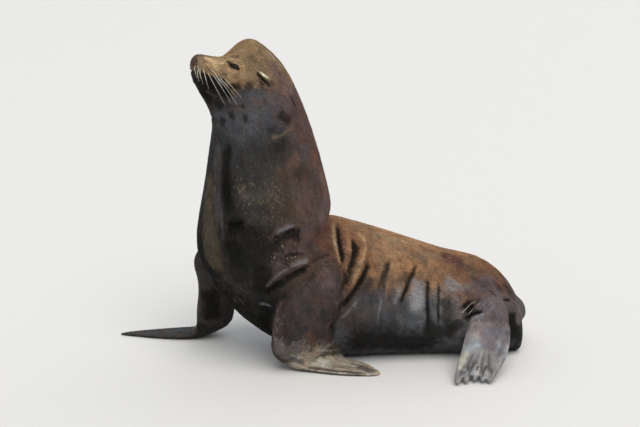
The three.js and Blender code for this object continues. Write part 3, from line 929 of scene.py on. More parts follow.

# %% [markdown]
# ## Patches and streaks
# These are what makes this bull itself: the straw-coloured bridge and the pale ring round the eye,
# the dark chin, partly its own wet hair and partly painted shade, painted shade in the creases and
# painted highlights on their ridges, pale flecks of coat painted as highlights, and light and dark
# runs on the flank.

# %% Patches and streaks by path
MARKS = {
    "crown": ([(238, 43), (250, 44), (262, 48)], 0.034, "tan", 0.6),
    "light of the crown": ([(237, 44), (243, 42), (252, 44), (260, 50)], 0.030, "tan", 0.4, "here"),
    "temple": ([(249, 52), (257, 55), (263, 61)], 0.022, "tan", 0.6),
    "behind the brow": ([(256, 50), (262, 53)], 0.010, "umber", 0.4),
    "spot of the temple": ([(264, 57), (266, 60)], 0.006, "russet", 0.7),
    "olive temple": ([(247, 59), (251, 57), (255, 60), (252, 63)], 0.008, "olive_brown", 0.35),
    # painted highlight along the back edge of the head, where the rim light falls
    "edge of the head": ([(266, 50), (274, 58), (285, 72)], 0.008, "cream", 0.45, "here"),
    "bridge": ([(202, 57), (211, 59), (223, 61)], 0.013, "straw", 0.9),
    "side of the muzzle": ([(204, 63), (213, 66), (223, 69)], 0.012, "straw", 0.85),
    "ruddy pad": ([(203, 66), (209, 70), (216, 75)], 0.012, "sienna", 0.85),
    # painted highlight on top of the muzzle, over its straw hair
    "light of the muzzle": ([(202, 57.5), (208, 59), (214, 62), (220, 65)], 0.0125, "pale_straw", 0.85),
    "stop": ([(221, 59), (226, 57), (232, 54)], 0.010, "straw", 0.75),
    # painted highlight: the end of the one on top of the muzzle
    "light before the eye": ([(221, 63), (225, 62)], 0.012, "pale_straw", 0.9),
    "cheek": ([(226, 72), (233, 75), (241, 76)], 0.015, "straw", 0.35),
    "olive under the eye": ([(233, 75), (240, 76.5)], 0.012, "olive_brown", 0.45),
    "olive cheek": ([(222, 74), (226, 75)], 0.008, "olive_brown", 0.5),
    "shade of the brow": ([(228, 57.5), (234, 56.5), (241, 57)], 0.0085, "umber", 0.55),
    "pale brow": ([(242, 50), (245, 55)], 0.009, "tan", 0.5),
    "ring over the eye": ([(224, 59), (232, 59), (240, 61), (244, 65)], 0.0055, "straw", 1.0),
    "ring behind the eye": ([(243, 64), (246, 68)], 0.007, "straw", 0.7),
    "ring under the eye": ([(224, 65), (230, 70), (238, 73)], 0.008, "straw", 0.6),
    "corner of the eye": ([(225.5, 61.2), (228, 62), (231, 63)], 0.0042, "soot", 0.95),
    # From here to 'throat': soot and charcoal below the whisker pads, on lips, chin, jaw and throat,
    # partly the dark wet hair there and partly painted shade under the muzzle and the jaw
    "below the pads": (
        [(193, 70), (200, 73.5), (208, 77.5), (216, 79.5), (224, 81), (231, 85)],
        0.014, "soot", 0.97,
    ),
    "above the lip": (
        [(196, 75), (204, 80), (212, 84), (221, 87), (231, 91), (238, 93)],
        0.016, "soot", 0.95,
    ),
    "jaw": ([(221, 95), (230, 97), (238, 98)], 0.022, "soot", 0.85),
    "under the jaw": ([(218, 99), (225, 102), (233, 104)], 0.036, "charcoal", 0.9),
    "grey under the cheek": ([(233, 93), (242, 94), (252, 92), (262, 93)], 0.025, "charcoal", 0.95),
    "edge of the cheek": ([(227, 84), (234, 86.5), (241, 89)], 0.013, "soot", 0.9),
    "mouth": ([(192, 77), (199, 82), (207, 87), (216, 90), (226, 93), (235, 96)], 0.021, "soot", 0.95),
    "chin": ([(195, 82), (200, 90), (207, 98), (213, 106)], 0.026, "soot", 0.9),
    "jaw spot": ([(208, 92), (211, 95)], 0.009, "umber", 0.55),
    "throat": ([(214, 98), (220, 106), (226, 108)], 0.024, "soot", 0.7),
    "brown under the ear": ([(257, 82), (262, 88), (268, 94)], 0.012, "umber", 0.7),
    "cheek end": ([(238, 84), (241, 86)], 0.010, "nose_brown", 0.6),
    "nose": ([(192, 58), (193, 63), (193, 68)], 0.018, "nose_brown", 0.95),
    "edge of the nose": ([(199, 56), (200, 62)], 0.007, "sienna", 0.5),
    "grey of the jaw": ([(232, 103), (240, 99), (248, 97), (256, 95)], 0.026, "slate", 0.85),
    "grey of the cheek": ([(243, 92), (254, 92), (264, 95), (270, 100)], 0.024, "slate", 0.8),
    # painted shade in the ear's opening and under its roll: this mark and the next
    "ear shade": ([(256, 70.5), (258.5, 75), (262.5, 79.5), (267, 83.5), (272, 88)], 0.0085, "soot", 0.95),
    "under the ear": ([(258.5, 78.5), (261, 82.5), (265, 87)], 0.006, "soot", 0.85),
    "behind the ear": ([(270, 80), (275, 87)], 0.007, "nose_brown", 0.7),
    "mauve behind the ear": ([(268, 58), (274, 68), (281, 79), (287, 90)], 0.022, "rose_mauve", 0.85),
    "dark under the ear": ([(268, 88), (275, 94)], 0.014, "umber", 0.5),
    "cheek blot": ([(245, 84.5), (250, 85), (254.5, 87.5)], 0.021, "nose_brown", 0.95),
    "cheek gap": ([(229, 88), (234, 91), (239, 94)], 0.014, "soot", 0.5),
    # painted highlight along the ear's upper edge
    "ear light": ([(260, 71), (264, 75), (269, 80)], 0.0065, "ivory", 1.0, "here"),
    "grey throat": ([(228, 128), (236, 136), (247, 141)], 0.030, "slate", 0.7),
    # painted shade in the throat fold (a, b and c) and in the jaw crease (d)
    "throat spot a": ([(220, 121), (226, 123)], 0.0215, "soot", 0.7),
    "throat spot b": ([(229, 117), (236, 113)], 0.0215, "soot", 0.7),
    "throat spot c": ([(242, 119), (249, 118)], 0.0215, "soot", 0.7),
    "throat spot d": ([(240, 104), (247, 109)], 0.010, "soot", 0.55),
    "throat light": ([(232, 132), (244, 130), (254, 133)], 0.020, "steel", 0.6),
    "grey neck": ([(262, 106), (270, 118), (262, 135)], 0.030, "slate", 0.6),
    # painted shade in the dent of the neck
    "neck dent": ([(276, 113), (284, 118), (292, 123)], 0.027, "soot", 0.7, "faint"),
    "neck line": ([(270, 139), (283, 135), (298, 123)], 0.006, "crown_tan", 0.4, "here"),
    "neck hatch": ([(266, 133), (272, 129), (278, 126)], 0.008, "soot", 0.45, "here"),
    "neck patch": ([(277, 140), (284, 152)], 0.040, "soot", 0.42, "faint"),
    "neck streak": ([(262, 96), (268, 104)], 0.008, "soot", 0.4, "here"),
    "rust neck": ([(301, 133), (307, 144)], 0.030, "rust", 0.6, "faint"),
    "rose neck": ([(289, 156), (302, 166)], 0.040, "rose_mauve", 0.4, "faint"),
    "dark neck": ([(294, 171), (311, 178)], 0.040, "charcoal", 0.45, "faint"),
    "orange neck": ([(321, 186), (325, 194)], 0.013, "sienna", 0.7, "faint"),
    "dark throat": ([(238, 150), (250, 152), (262, 158)], 0.040, "charcoal", 0.5),
    # painted shade in the fold behind the head
    "nape line": ([(284, 89), (291, 98), (297, 110)], 0.007, "nose_brown", 0.9),
    "mauve nape": ([(272, 62), (283, 80), (294, 100)], 0.034, "rose_mauve", 0.55),
    "russet nape": ([(306, 125), (314, 150), (323, 178)], 0.030, "russet", 0.6),
    "rose nape": ([(319, 172), (324, 185), (328, 205)], 0.022, "rose_mauve", 0.75),
    # painted highlight along the top edge of the nape, where the rim light falls
    "tan edge of the nape": (
        [(284, 68), (303, 100), (318, 140), (328, 180), (333, 214)],
        0.020, "amber", 0.5,
    ),
    "mauve shoulder": ([(300, 170), (306, 205), (314, 235)], 0.050, "mauve", 0.75),
    "light shoulder": ([(319, 208), (323, 222), (322, 236)], 0.024, "rose_mauve", 0.6),
    "top of the elbow": ([(333, 262), (336, 270), (336, 278)], 0.014, "rose_mauve", 0.55, "here"),
    # painted highlight on the far side of the breast
    "far breast grey": ([(218, 130), (217, 165), (217, 200), (220, 230)], 0.030, "dusk", 0.4, "here"),
    # painted shade in the hollow of the breast
    "breast hollow": ([(231, 135), (227, 160), (227, 190), (232, 225)], 0.030, "soot", 0.75, "here"),
    # darker under the chest, partly its own dark hair and partly painted shade: this mark and the next
    "breast dark": ([(229, 236), (234, 252), (240, 272)], 0.044, "soot", 0.9, "here"),
    "dark chest": ([(248, 220), (256, 248), (262, 276)], 0.085, "belly", 0.8, "here"),
    "grey line of the breast": ([(221, 205), (222, 225), (224, 245)], 0.007, "steel", 0.7, "here"),
    "breast khaki": ([(240, 186), (256, 192), (274, 190)], 0.045, "khaki", 0.35),
    # painted shade below the side crease and by the armpit: this mark and the next
    "dark of the side": ([(292, 243), (292, 256), (283, 268)], 0.030, "belly", 0.55),
    "dark over the armpit": ([(262, 262), (262, 280), (256, 296)], 0.050, "soot", 0.8),
    # painted shade in the upper breast crease
    "upper breast crease": ([(227, 226), (236, 228), (247, 222)], 0.034, "soot", 0.95, "here"),
    "breast grey": ([(248, 160), (262, 175), (272, 195)], 0.060, "charcoal", 0.7),
    # darker low on the breast, partly its own dark hair and partly painted shade
    "breast low": ([(232, 290), (240, 310), (256, 330)], 0.065, "soot", 0.95),
    # painted light: the far side of the breast, where light falls on it, painted light brown
    "far breast brown": (
        [(211, 165), (209, 190), (208, 215), (209, 240), (214, 262), (219, 276)],
        0.052, "khaki", 0.62, "here",
    ),
    # darker under the chest, partly its own dark hair and partly painted shade
    "deep breast": ([(232, 260), (239, 272), (246, 286)], 0.050, "belly", 0.75),
    # From here to 'low dark': the soot and belly marks are painted shade in the side and armpit creases
    # and by the armpit, and 'side light', 'armpit light', 'armpit shine' and 'low light' are painted
    # highlights on the ridges between them.
    "dark before the armpit": ([(276, 240), (280, 250), (277, 262)], 0.038, "belly", 0.6, "faint"),
    "side crease": ([(270, 242), (280, 238), (292, 234), (305, 229)], 0.0185, "soot", 0.9, "faint"),
    "side end": ([(294, 236), (301, 242)], 0.022, "soot", 0.65, "here"),
    "side light": ([(275, 236), (284, 230), (296, 224)], 0.012, "blue_grey", 0.55, "faint"),
    "armpit light": ([(265, 288), (274, 279), (284, 271), (291, 267)], 0.007, "blue_grey", 0.5, "faint"),
    "armpit shine": ([(288, 266), (298, 263), (309, 259)], 0.0115, "blue_grey", 0.75, "here"),
    "armpit crease": (
        [(262, 298), (272, 289), (282, 283), (292, 276), (303, 270), (313, 264)],
        0.014, "soot", 0.97, "faint",
    ),
    "over the armpit": ([(284, 257), (295, 254), (307, 254)], 0.007, "soot", 0.7, "faint"),
    "over the arm": ([(309, 265), (319, 258), (334, 253)], 0.006, "soot", 0.5, "here"),
    "low light": ([(259, 304), (266, 304), (272, 307)], 0.005, "pewter", 0.6, "here"),
    "low dark": ([(258, 311), (267, 320), (270, 335)], 0.036, "soot", 0.9, "here"),
    # painted highlight along the edge of the far breast
    "far breast edge": ([(206, 269), (214, 286), (221, 300), (226, 310)], 0.007, "slate", 0.6, "here"),
    "bright patch": ([(357, 232), (362, 236), (366, 243)], 0.014, "straw", 0.75, "here"),
    "second bright patch": ([(384, 238), (391, 240), (398, 245)], 0.016, "straw", 0.6),
    "tan patch": ([(372, 234), (385, 240), (396, 248)], 0.024, "straw", 0.35, "here"),
    "khaki patch": ([(408, 252), (420, 258), (430, 263)], 0.022, "khaki", 0.5, "here"),
    "red patch": ([(438, 254), (452, 259), (466, 264)], 0.048, "russet", 0.85, "here"),
    "dark red patch": ([(454, 267), (465, 268), (472, 271)], 0.028, "rust", 0.8, "here"),
    "yellow hip": ([(476, 256), (478, 264)], 0.012, "ginger", 0.6, "here"),
    "umber patch": ([(401, 264), (405, 275), (403, 284)], 0.017, "umber", 0.6, "faint"),
    # painted shade low behind the arm
    "low dark behind the arm": ([(373, 276), (365, 288), (352, 305)], 0.024, "charcoal", 0.85),
    # painted shade in the folds of the nape and behind the arm, down to 'rear of the arm'
    "nape fold dark": ([(336, 219), (339, 240), (342, 256), (343, 266)], 0.013, "soot", 0.95, "here"),
    "nape fold low": ([(343, 266), (345, 280), (341, 294), (335, 304)], 0.01, "soot", 0.85, "here"),
    "second fold dark": ([(352, 236), (355, 250), (353, 262), (347, 276)], 0.018, "soot", 0.95, "here"),
    "third fold dark": (
        [(371, 256), (366, 270), (358, 286), (348, 300), (336, 313)],
        0.015, "soot", 0.95, "faint",
    ),
    "rear of the arm": ([(345, 297), (336, 311), (331, 326), (331, 346)], 0.016, "soot", 0.9, "here"),
    # painted highlight on the ridge behind the arm
    "ridge behind the arm": (
        [(361, 230), (365, 242), (363, 256), (357, 272), (348, 290)],
        0.013, "straw", 0.45, "here",
    ),
    "shade under the fold": ([(351, 266), (349, 276), (345, 286)], 0.014, "soot", 0.75, "here"),
    "warm nape": ([(346, 224), (349, 240), (350, 256)], 0.014, "amber", 0.9, "here"),
    # painted highlight: the same lit edge running on down the nape
    "nape edge": ([(333, 214), (334, 236), (338, 256), (341, 268)], 0.009, "straw", 0.7, "here"),
    "light of the back": ([(360, 236), (378, 240), (396, 246), (412, 252)], 0.030, "amber", 0.75),
    "pale back": ([(372, 232), (392, 238), (405, 245)], 0.024, "straw", 0.45),
    "rib grey": ([(350, 312), (364, 303), (380, 298), (392, 300)], 0.045, "slate", 0.8),
    # painted highlight on the line of the ribs
    "rib line": ([(339, 321), (350, 310), (362, 295)], 0.0045, "pewter", 0.5, "here"),
    # painted shade in the first flank fold, then painted highlights on the first and the low flank ridge
    "first fold dark": ([(390, 258), (386, 272), (381, 290)], 0.011, "soot", 0.9, "faint"),
    "first ridge": ([(392, 257), (391, 270), (388, 285), (386, 300)], 0.007, "amber", 0.6, "here"),
    "low line": ([(377, 328), (379, 312), (382, 296)], 0.0045, "pewter", 0.5, "here"),
    # painted shade in the flank folds: the marks named fold dark and fold shade, to 'fifth fold dark'
    "second fold dark flank": (
        [(417, 263), (412, 275), (407, 287), (403, 297)],
        0.0145, "soot", 0.85, "faint",
    ),
    "second fold shade": ([(411, 274), (402, 296)], 0.030, "charcoal", 0.45, "faint"),
    "fourth fold shade": ([(431, 296), (433, 330)], 0.034, "charcoal", 0.5, "faint"),
    "first fold shade": ([(384, 272), (380, 292)], 0.024, "umber", 0.5, "faint"),
    "third fold dark flank": ([(409, 284), (404, 294), (399, 305)], 0.010, "soot", 0.9, "faint"),
    # painted highlight on the strip between two folds
    "strip between folds": ([(401, 282), (398, 294), (393, 308)], 0.007, "pewter", 0.6, "here"),
    "dark of the flank": (
        [(437, 306), (446, 302), (449, 316), (440, 326)],
        0.034, "charcoal", 0.85, "faint",
    ),
    # painted sheen on the wet flank
    "flank light": ([(421, 277), (418, 290), (415, 318)], 0.034, "ice", 0.56, "faint"),
    "fourth fold dark": ([(427.5, 275), (427.5, 300), (428, 342)], 0.0125, "soot", 0.85, "faint"),
    # painted highlights on the fourth flank ridge: this mark and the next
    "fourth ridge": ([(433, 274), (433, 284), (434, 292)], 0.008, "amber", 0.3, "here"),
    "fourth ridge low": ([(435, 292), (436, 308), (436, 325)], 0.005, "pewter", 0.25, "here"),
    "fifth fold dark": ([(438, 282), (438, 302), (438, 330)], 0.0105, "soot", 0.85, "faint"),
    "grey behind it": ([(446, 278), (447, 292)], 0.016, "pewter", 0.2),
    "pale hip": ([(444, 277), (452, 283), (460, 292)], 0.026, "pewter", 0.6, "faint"),
    "russet hip": ([(440, 258), (455, 258), (462, 266)], 0.030, "russet", 0.8),
    "olive hip": ([(466, 266), (475, 272), (474, 282)], 0.020, "olive_brown", 0.6),
    "mauve hip": ([(484, 272), (490, 284), (484, 292)], 0.045, "dusk", 0.8),
    "grey above the thigh": ([(461, 284), (470, 288), (478, 286)], 0.024, "blue_grey", 0.5, "faint"),
    "umber rump": ([(500, 282), (508, 290), (516, 300)], 0.026, "umber", 0.6),
    # painted shade in the line of the hip and the hollow before the tail: this mark and the next
    "hip line": ([(485, 288), (492, 292), (499, 299)], 0.005, "nose_brown", 0.8),
    "tail hollow": ([(503, 300), (511, 301)], 0.010, "soot", 0.9),
    # painted highlight on the tail
    "tail lobe": ([(516, 303), (519, 309), (519, 315)], 0.018, "blue_grey", 0.8),
    # painted shade behind the near heel and under the rump: this mark and the next
    "behind the heel": ([(511, 308), (513, 325), (513, 345)], 0.028, "soot", 0.95),
    "rear dark": ([(517, 322), (520, 335), (519, 348)], 0.032, "belly", 0.85),
    # From here to 'dark before the foot': darker towards the belly, partly the belly's own dark hair and
    # partly painted shade on the underside
    "belly edge": ([(338, 338), (360, 341), (390, 342), (420, 343), (452, 343)], 0.080, "soot", 0.85),
    "dark low flank": ([(338, 322), (354, 326), (372, 328), (392, 328), (412, 330)], 0.038, "belly", 0.4),
    "dark low flank behind": (
        [(418, 330), (434, 331), (448, 331), (462, 331)],
        0.050, "belly", 0.85, "faint",
    ),
    "dark before the foot": ([(450, 322), (457, 327), (463, 330)], 0.034, "belly", 0.75, "here"),
    "grey of the hip": ([(470, 278), (480, 288), (492, 290)], 0.022, "dusk", 0.7),
}


def streaks(places, toward, long, wide, seed):
    """A cloud drawn out along one direction."""
    toward = unit(np.array([toward], float))[0]
    ahead = (places @ toward)[:, None] * toward
    return cloud(ahead * wide / long + places - ahead, wide, seed)


def mark_colours(places, colours, marks, tree):
    """Lays every patch and streak over the colours, with edges broken up as fur breaks them."""
    ragged = 1.2 * streaks(places, (0.2, 0, -1), 0.040, 0.007, 8) + 0.8 * cloud(places, 0.028, 9)
    for path, reach, name, strength, *where in marks.values():
        for line, share in shared_paths(tree, path, where):
            amount = nearness(places, line, reach)
            touched = amount > 0.01
            soft = amount[touched]
            soft = smooth_step(0.10, 0.85, soft + ragged[touched] * soft * (1 - soft)) * strength * share
            colours[touched] += soft[:, None] * (colour(name) - colours[touched])
    return colours


print("made", len(MARKS), "patches and streaks ready to lay")

# %% [markdown]
# ## The colours of the limbs
# Arms and feet have their own ground: plum and charcoal on the arm, cream on the near hand, painted
# there as light falling on it, and grey hide on the feet. The far arm and hand are painted darker as
# shade, and so are the flippers' undersides. Light and dark run along each flipper. A part's own
# numbers from the flesh say which points are meant, evened out so nothing ends in a line.

# %% Colours of the limbs
LIMB_LINES = {
    "left arm": [
        (-0.38, -0.29, 0.53), (-0.37, -0.34, 0.34), (-0.41, -0.33, 0.19),
        (-0.40, -0.27, 0.06), (-0.08, -0.34, 0),
    ],
    "right arm": [
        (-0.74, -0.04, 0.52), (-0.79, 0.03, 0.34), (-0.80, 0.06, 0.17),
        (-0.85, 0.10, 0.03), (-1.26, 0.12, 0),
    ],
    "left foot": [(0.39, -0.13, 0.31), (0.38, -0.23, 0.26), (0.36, -0.30, 0.17), (0.29, -0.44, 0.01)],
    "right foot": [(0.44, 0.04, 0.20), (0.50, 0.15, 0.08), (0.41, 0.28, 0.03), (0.27, 0.42, 0.01)],
}
FINGERS = {
    "left": ((-0.36, -0.28, 0.11), (-0.10, -0.335, 0.020)),
    "right": ((-0.88, 0.10, 0.11), (-1.24, 0.12, 0.020)),
}
ARM_PART, FOOT_PART = -0.10, 0  # the left limbs lie below these values of Y
HAND_RUNS, FOOT_RUNS = (0.98, -0.20, -0.05), (-0.30, -0.50, -0.80)  # along the near flippers
NEAR_SOLE_UP = (-0.3, -0.7, 0.6)  # the near hind flipper stands on edge, its top to the camera

part_of = part_numbers(points)
is_arm = net.even(belongs("fore_arm"), 20)
is_ear = net.even(belongs("ear"), 2)
is_hand = net.even(belongs("fore_flipper"), 14)
is_ankle = net.even(belongs("ankle"), 30)
is_foot = net.even(belongs("hind_flipper"), 20)


def mixed(colours, name, amount):
    return colours + np.clip(amount, 0, 1)[:, None] * (colour(name) - colours)


def limb_colours(places, colours):
    """Arms pass from the shoulder's colours to the flippers' bare leather, each side its own:
    the near hand painted pale as light, the far arm and hand and the flippers' undersides dark as shade.
    """
    height = places[:, 2]
    left = (places[:, 1] < ARM_PART).astype(float)
    patchy = 0.5 + 0.5 * cloud(places, 0.05, 21)
    down_arm = streaks(places, (-0.10, -0.05, -1), 0.06, 0.008, 22)
    on_hand = streaks(places, HAND_RUNS, 0.10, 0.007, 23)
    on_foot = streaks(places, FOOT_RUNS, 0.08, 0.010, 24)
    limb, leg = np.clip(is_arm + is_hand, 0, 1), np.clip(is_ankle + is_foot, 0, 1)
    colours = mixed(colours, "plum", is_arm * (0.75 + 0.25 * down_arm))
    colours = mixed(colours, "charcoal", is_arm * (patchy * 0.45 + 0.15 * down_arm))
    # painted shade: the far arm is darkened
    colours = mixed(colours, "charcoal", is_arm * (1 - left) * 0.7)
    # painted light: the near hand, low and ahead, is painted cream where light falls on it
    low = smooth_step(0.150, 0.070, height + 0.035 * down_arm)
    ahead = smooth_step(-0.510, -0.430, places[:, 0] + 0.025 * down_arm + 0.02 * on_hand)
    colours = mixed(colours, "cream", limb * left * low * ahead * (0.85 + 0.3 * on_hand))
    colours = mixed(colours, "umber", limb * left * low * smooth_step(0.3, 0.8, -on_hand) * 0.6)
    # painted shade: the far hand is darkened
    colours = mixed(colours, "charcoal", is_hand * (1 - left) * 0.85)
    colours = mixed(colours, "dusk", leg * 0.75 * smooth_step(0.36, 0.28, height))
    for side, near in (("left", left), ("right", 1 - left)):
        start, end = (np.array(place) for place in LIMB_LINES[f"{side} foot"][2:])
        down_foot = (places - start) @ unit(end - start)
        fade = smooth_step(-0.05, 0.06, down_foot + 0.02 * on_foot) * leg * near
        colours = mixed(colours, "pewter", fade * (0.85 + 0.25 * on_foot))
        colours = mixed(colours, "slate", fade * smooth_step(0.1, 0.7, -on_foot) * 0.5)
    # painted shade: the sides of hands and feet that face down are painted near black
    normals = normals_of(skin.data)
    facing_up = normals @ NEAR_SOLE_UP * left + normals[:, 2] * (1 - left)
    facing_up = np.where(is_foot > 0.3, facing_up, normals[:, 2])
    sole = smooth_step(0.2, -0.3, facing_up)
    return mixed(colours, "soot", (is_hand + is_foot) * sole * 0.8)


print("the near arm covers", int((is_arm > 0.5).sum()), "points of the skin")

# %% [markdown]
# ## Patches and streaks of the limbs
# These lie over the ground of the limbs, so they are laid last. They are written like the others.

# %% Patches and streaks of the limbs
FLIPPER_MARKS = {
    "arm mauve": ([(318, 268), (328, 276), (326, 290)], 0.036, "mauve", 0.7, "here"),
    "arm dark": ([(300, 285), (306, 305), (308, 325)], 0.030, "charcoal", 0.7, "here"),
    "arm purple": ([(292, 318), (298, 330), (303, 337)], 0.022, "charcoal", 0.6, "here"),
    "arm back dark": ([(322, 305), (326, 318), (327, 331)], 0.018, "charcoal", 0.6, "here"),
    "arm russet": ([(306, 330), (312, 339), (317, 349)], 0.018, "russet", 0.6, "here"),
    "arm light edge": ([(284, 296), (277, 312), (273, 332), (276, 348)], 0.009, "mauve", 0.7, "here"),
    "elbow tan": ([(334, 296), (337, 308), (331, 322), (320, 332)], 0.012, "mauve", 0.5, "here"),
    "fore arm grey": ([(278, 336), (279, 347), (283, 357)], 0.030, "blue_grey", 0.6, "here"),
    "wrist mauve": ([(292, 340), (300, 347), (306, 352)], 0.030, "dusk", 0.75, "here"),
    "wrist grey": ([(285, 356), (296, 360), (307, 364)], 0.013, "steel", 0.85, "here"),
    "hand light": ([(318, 360), (332, 362), (348, 364)], 0.010, "bone", 0.5, "here"),
    "hand dark tip": ([(356, 366), (366, 369), (376, 373)], 0.024, "slate", 0.8, "here"),
    # painted shade along the lower edge of the near hand
    "rear edge of the hand": (
        [(300, 366.5), (318, 369), (336, 371), (356, 372.5), (372, 374.5)],
        0.007, "soot", 0.8, "here",
    ),
    "far arm front": ([(200, 275), (199, 300), (198, 318)], 0.010, "mauve", 0.4, "here"),
    "far arm back": ([(208, 285), (211, 305), (213, 325)], 0.046, "soot", 0.9, "here"),
    "far wrist": ([(205, 322), (196, 330)], 0.020, "soot", 0.7, "here"),
    "far hand light": ([(190, 328), (172, 331), (150, 333), (128, 333)], 0.007, "blue_grey", 0.15, "here"),
    "ankle grey": ([(471, 318), (478, 321), (486, 318)], 0.016, "blue_grey", 0.6, "here"),
    "foot mauve": ([(484, 314), (490, 328), (490, 342), (488, 354)], 0.052, "dusk", 0.95, "here"),
    "foot pale": ([(469, 332), (473, 342), (476, 352)], 0.028, "pewter", 0.9, "here"),
    "foot mid": ([(479, 346), (478, 356), (477, 366)], 0.014, "pewter", 0.8, "here"),
    # painted highlight on the tip of the toes
    "foot bone edge": ([(464, 348), (461, 360), (459, 372)], 0.026, "bone", 0.62, "here"),
    "inner toe": ([(456, 371), (457, 380)], 0.018, "pewter", 0.75, "here"),
    "second toe": ([(468, 372), (469, 380)], 0.012, "pewter", 0.6, "here"),
    "middle toe": ([(477, 363), (476, 376)], 0.014, "ice", 0.9, "here"),
    "outer toe": ([(496, 352), (492, 364), (488, 374)], 0.020, "blue_grey", 0.7, "here"),
    "foot straw": ([(465, 338), (463, 348)], 0.008, "straw", 0.2, "here"),
    "foot right edge": ([(506, 325), (503, 345), (497, 362)], 0.016, "dusk", 0.7, "here"),
    # painted shade in the hollow and the crease of the thigh: this mark and the next
    "thigh hollow": ([(461, 312), (468, 308), (475, 303)], 0.03, "soot", 0.97, "here"),
    "thigh crease": ([(463, 320), (472, 315), (484, 311)], 0.012, "soot", 0.95, "here"),
    "rim of the foot": (
        [(469.5, 322), (474, 318), (480, 315.5), (487, 314.5)],
        0.005, "pewter", 0.7, "here",
    ),
}
print("made", len(FLIPPER_MARKS), "more for the limbs")

# %% [markdown]
# ## Toes and fingers
# Five toes share one web, so only shallow grooves part them, from the ankle between the claws and
# past the edge. Four still shallower grooves part the fingers of a fore flipper.

# %% Toes and fingers
GROOVE_REACH, TOE_DEEP, FINGER_DEEP = 0.0060, 0.008, 0.003
WRIST_HALF, TIP_HALF = 0.085, 0.030  # half the fan of a fore flipper's grooves
SOLE = 0.0008  # the lowest that a point of the skin may lie


def toe_lines(side):
    """The gaps between an animal's five toes, as paths over the top of a hind foot."""
    ankle_end = Vector(LIMB_LINES[f"{side} foot"][2])
    claws = [sum(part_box(f"claw_{side}_{number}"), Vector()) / 2 for number in (1, 2, 3)]
    gaps = [claws[0].lerp(claws[1], share) for share in (-0.5, 0.5)]
    gaps += [claws[1].lerp(claws[2], share) for share in (0.5, 1.5)]
    above = tree.find_nearest(claws[1])[1] * 0.008
    lines = []
    for gap in gaps:
        rows = [ankle_end.lerp(gap, share) + above for share in np.linspace(0.50, 1.32, 18)]
        lines.append(onto_skin(tree, rows))
    return lines


def finger_lines(side):
    """Four shallow grooves between the five fingers of a fore flipper."""
    wrist, tip = (Vector(place) for place in FINGERS[side])
    across = (tip - wrist).cross(UP).normalized()
    lines = []
    for share in (-0.6, -0.2, 0.2, 0.6):
        start, end = wrist + across * share * WRIST_HALF, tip + across * share * TIP_HALF
        rows = [start.lerp(end, step) for step in np.linspace(0, 0.93, 20)]
        lines.append(onto_skin(tree, rows))
    return lines


tree = skin_tree()
groove_lines = []
for side in ("left", "right"):
    groove_lines += [(line, TOE_DEEP) for line in toe_lines(side)]
    groove_lines += [(line, FINGER_DEEP) for line in finger_lines(side)]
grooves = np.zeros(len(points))
for line, deep in groove_lines:
    grooves += nearness(points, line, GROOVE_REACH) * deep
points = points - normals_of(skin.data) * net.even(grooves, 2, 0.5)[:, None]
points[:, 2] = np.maximum(points[:, 2], SOLE)
put_points(skin.data, points)
tree = skin_tree()
deepest = round(float(grooves.max()) * 1000, 1)
print("pressed", len(groove_lines), "grooves, the deepest", deepest, "mm")

# %% [markdown]
# ## Laying the colours
# Everything comes together in one colour for each point: the ground, the patches, the limbs,
# painted shade in the gaps between the toes and a dark rim round each eye. At last a mottle of
# light and dark, and a slow drift between warm and cold, keep the hide from looking painted.

# %% Laying the colours
EYE_RIM = 0.0020, 0.0058  # where an eye's dark rim is full, and where it ends
# painted shade in the grooves between the toes, by their depth
TOE_GAP_SHADE = 80  # a groove's darkness for each metre of its depth
DARKEST, LIGHTEST = 0.0035, 0.8
BARE_PARTS = {"nose": 1.0, "fore_flipper": 0.85, "hind_flipper": 1.0, "ear": 0.4}


def put_attribute(mesh, name, values):
    """Stores a colour or a number for each point of a mesh."""
    if values.ndim == 1:
        mesh.attributes.new(name, "FLOAT", "POINT").data.foreach_set("value", values.astype(np.float32))
        return
    whole = np.concatenate([values, np.ones((len(values), 1))], 1).astype(np.float32)
    mesh.attributes.new(name, "FLOAT_COLOR", "POINT").data.foreach_set("color", whole.ravel())


colours = mixed(ground_colours(points), "tan", is_ear * 0.7)
colours = mark_colours(points, colours, MARKS, tree)
colours = mark_colours(points, limb_colours(points, colours), FLIPPER_MARKS, tree)
# painted shade in the grooves between the toes
colours = mixed(colours, "soot", net.even(grooves, 1, 0.5) * TOE_GAP_SHADE * (is_foot > 0.3))
for side in HEAD_SIDE:
    colours = mixed(colours, "soot", beside_eye(points, side, *EYE_RIM))
runs = streaks(points, (0.25, 0, -1), 0.16, 0.015, 34) * (1 + belongs("trunk", "rump"))
mottle = 1 + 0.20 * cloud(points, 0.018, 31) + 0.20 * cloud(points, 0.055, 32)
mottle += 0.10 * cloud(points, 0.008, 33) + 0.15 * runs * (points[:, 2] < 1.0)
drift = 0.12 * cloud(points, 0.045, 35) + 0.07 * cloud(points, 0.016, 36)
warmth = np.exp(drift * (1 - 0.6 * belongs("head")))[:, None]
colours = colours * mottle[:, None] * warmth ** np.array([(1, 0, -0.8)])
colours = np.clip(colours, DARKEST, LIGHTEST)
put_attribute(skin.data, "marking", colours)
bareness = net.even(per_part(BARE_PARTS, 0.0), 16)
put_attribute(skin.data, "bare", bareness)
print("coloured", len(points), "points; a middling one is", np.median(colours, axis=0).round(3))

# %% [markdown]
# ## What hide and leather are made of
# Both are the same skin, so one material serves them. Its colour comes from the markings. The
# ground hair between the tufts is too fine to model, so a noise group gives it as bump; where the
# skin is bare, on nose and flippers, the bump changes to the creases of leather.

# %% Noise group and hide
HAIR_SCALE, CREASE_SCALE, MOTTLE_SCALE = 340, 150, 38
BUMP_STRENGTH, BUMP_DEPTH = 0.35, 0.0012


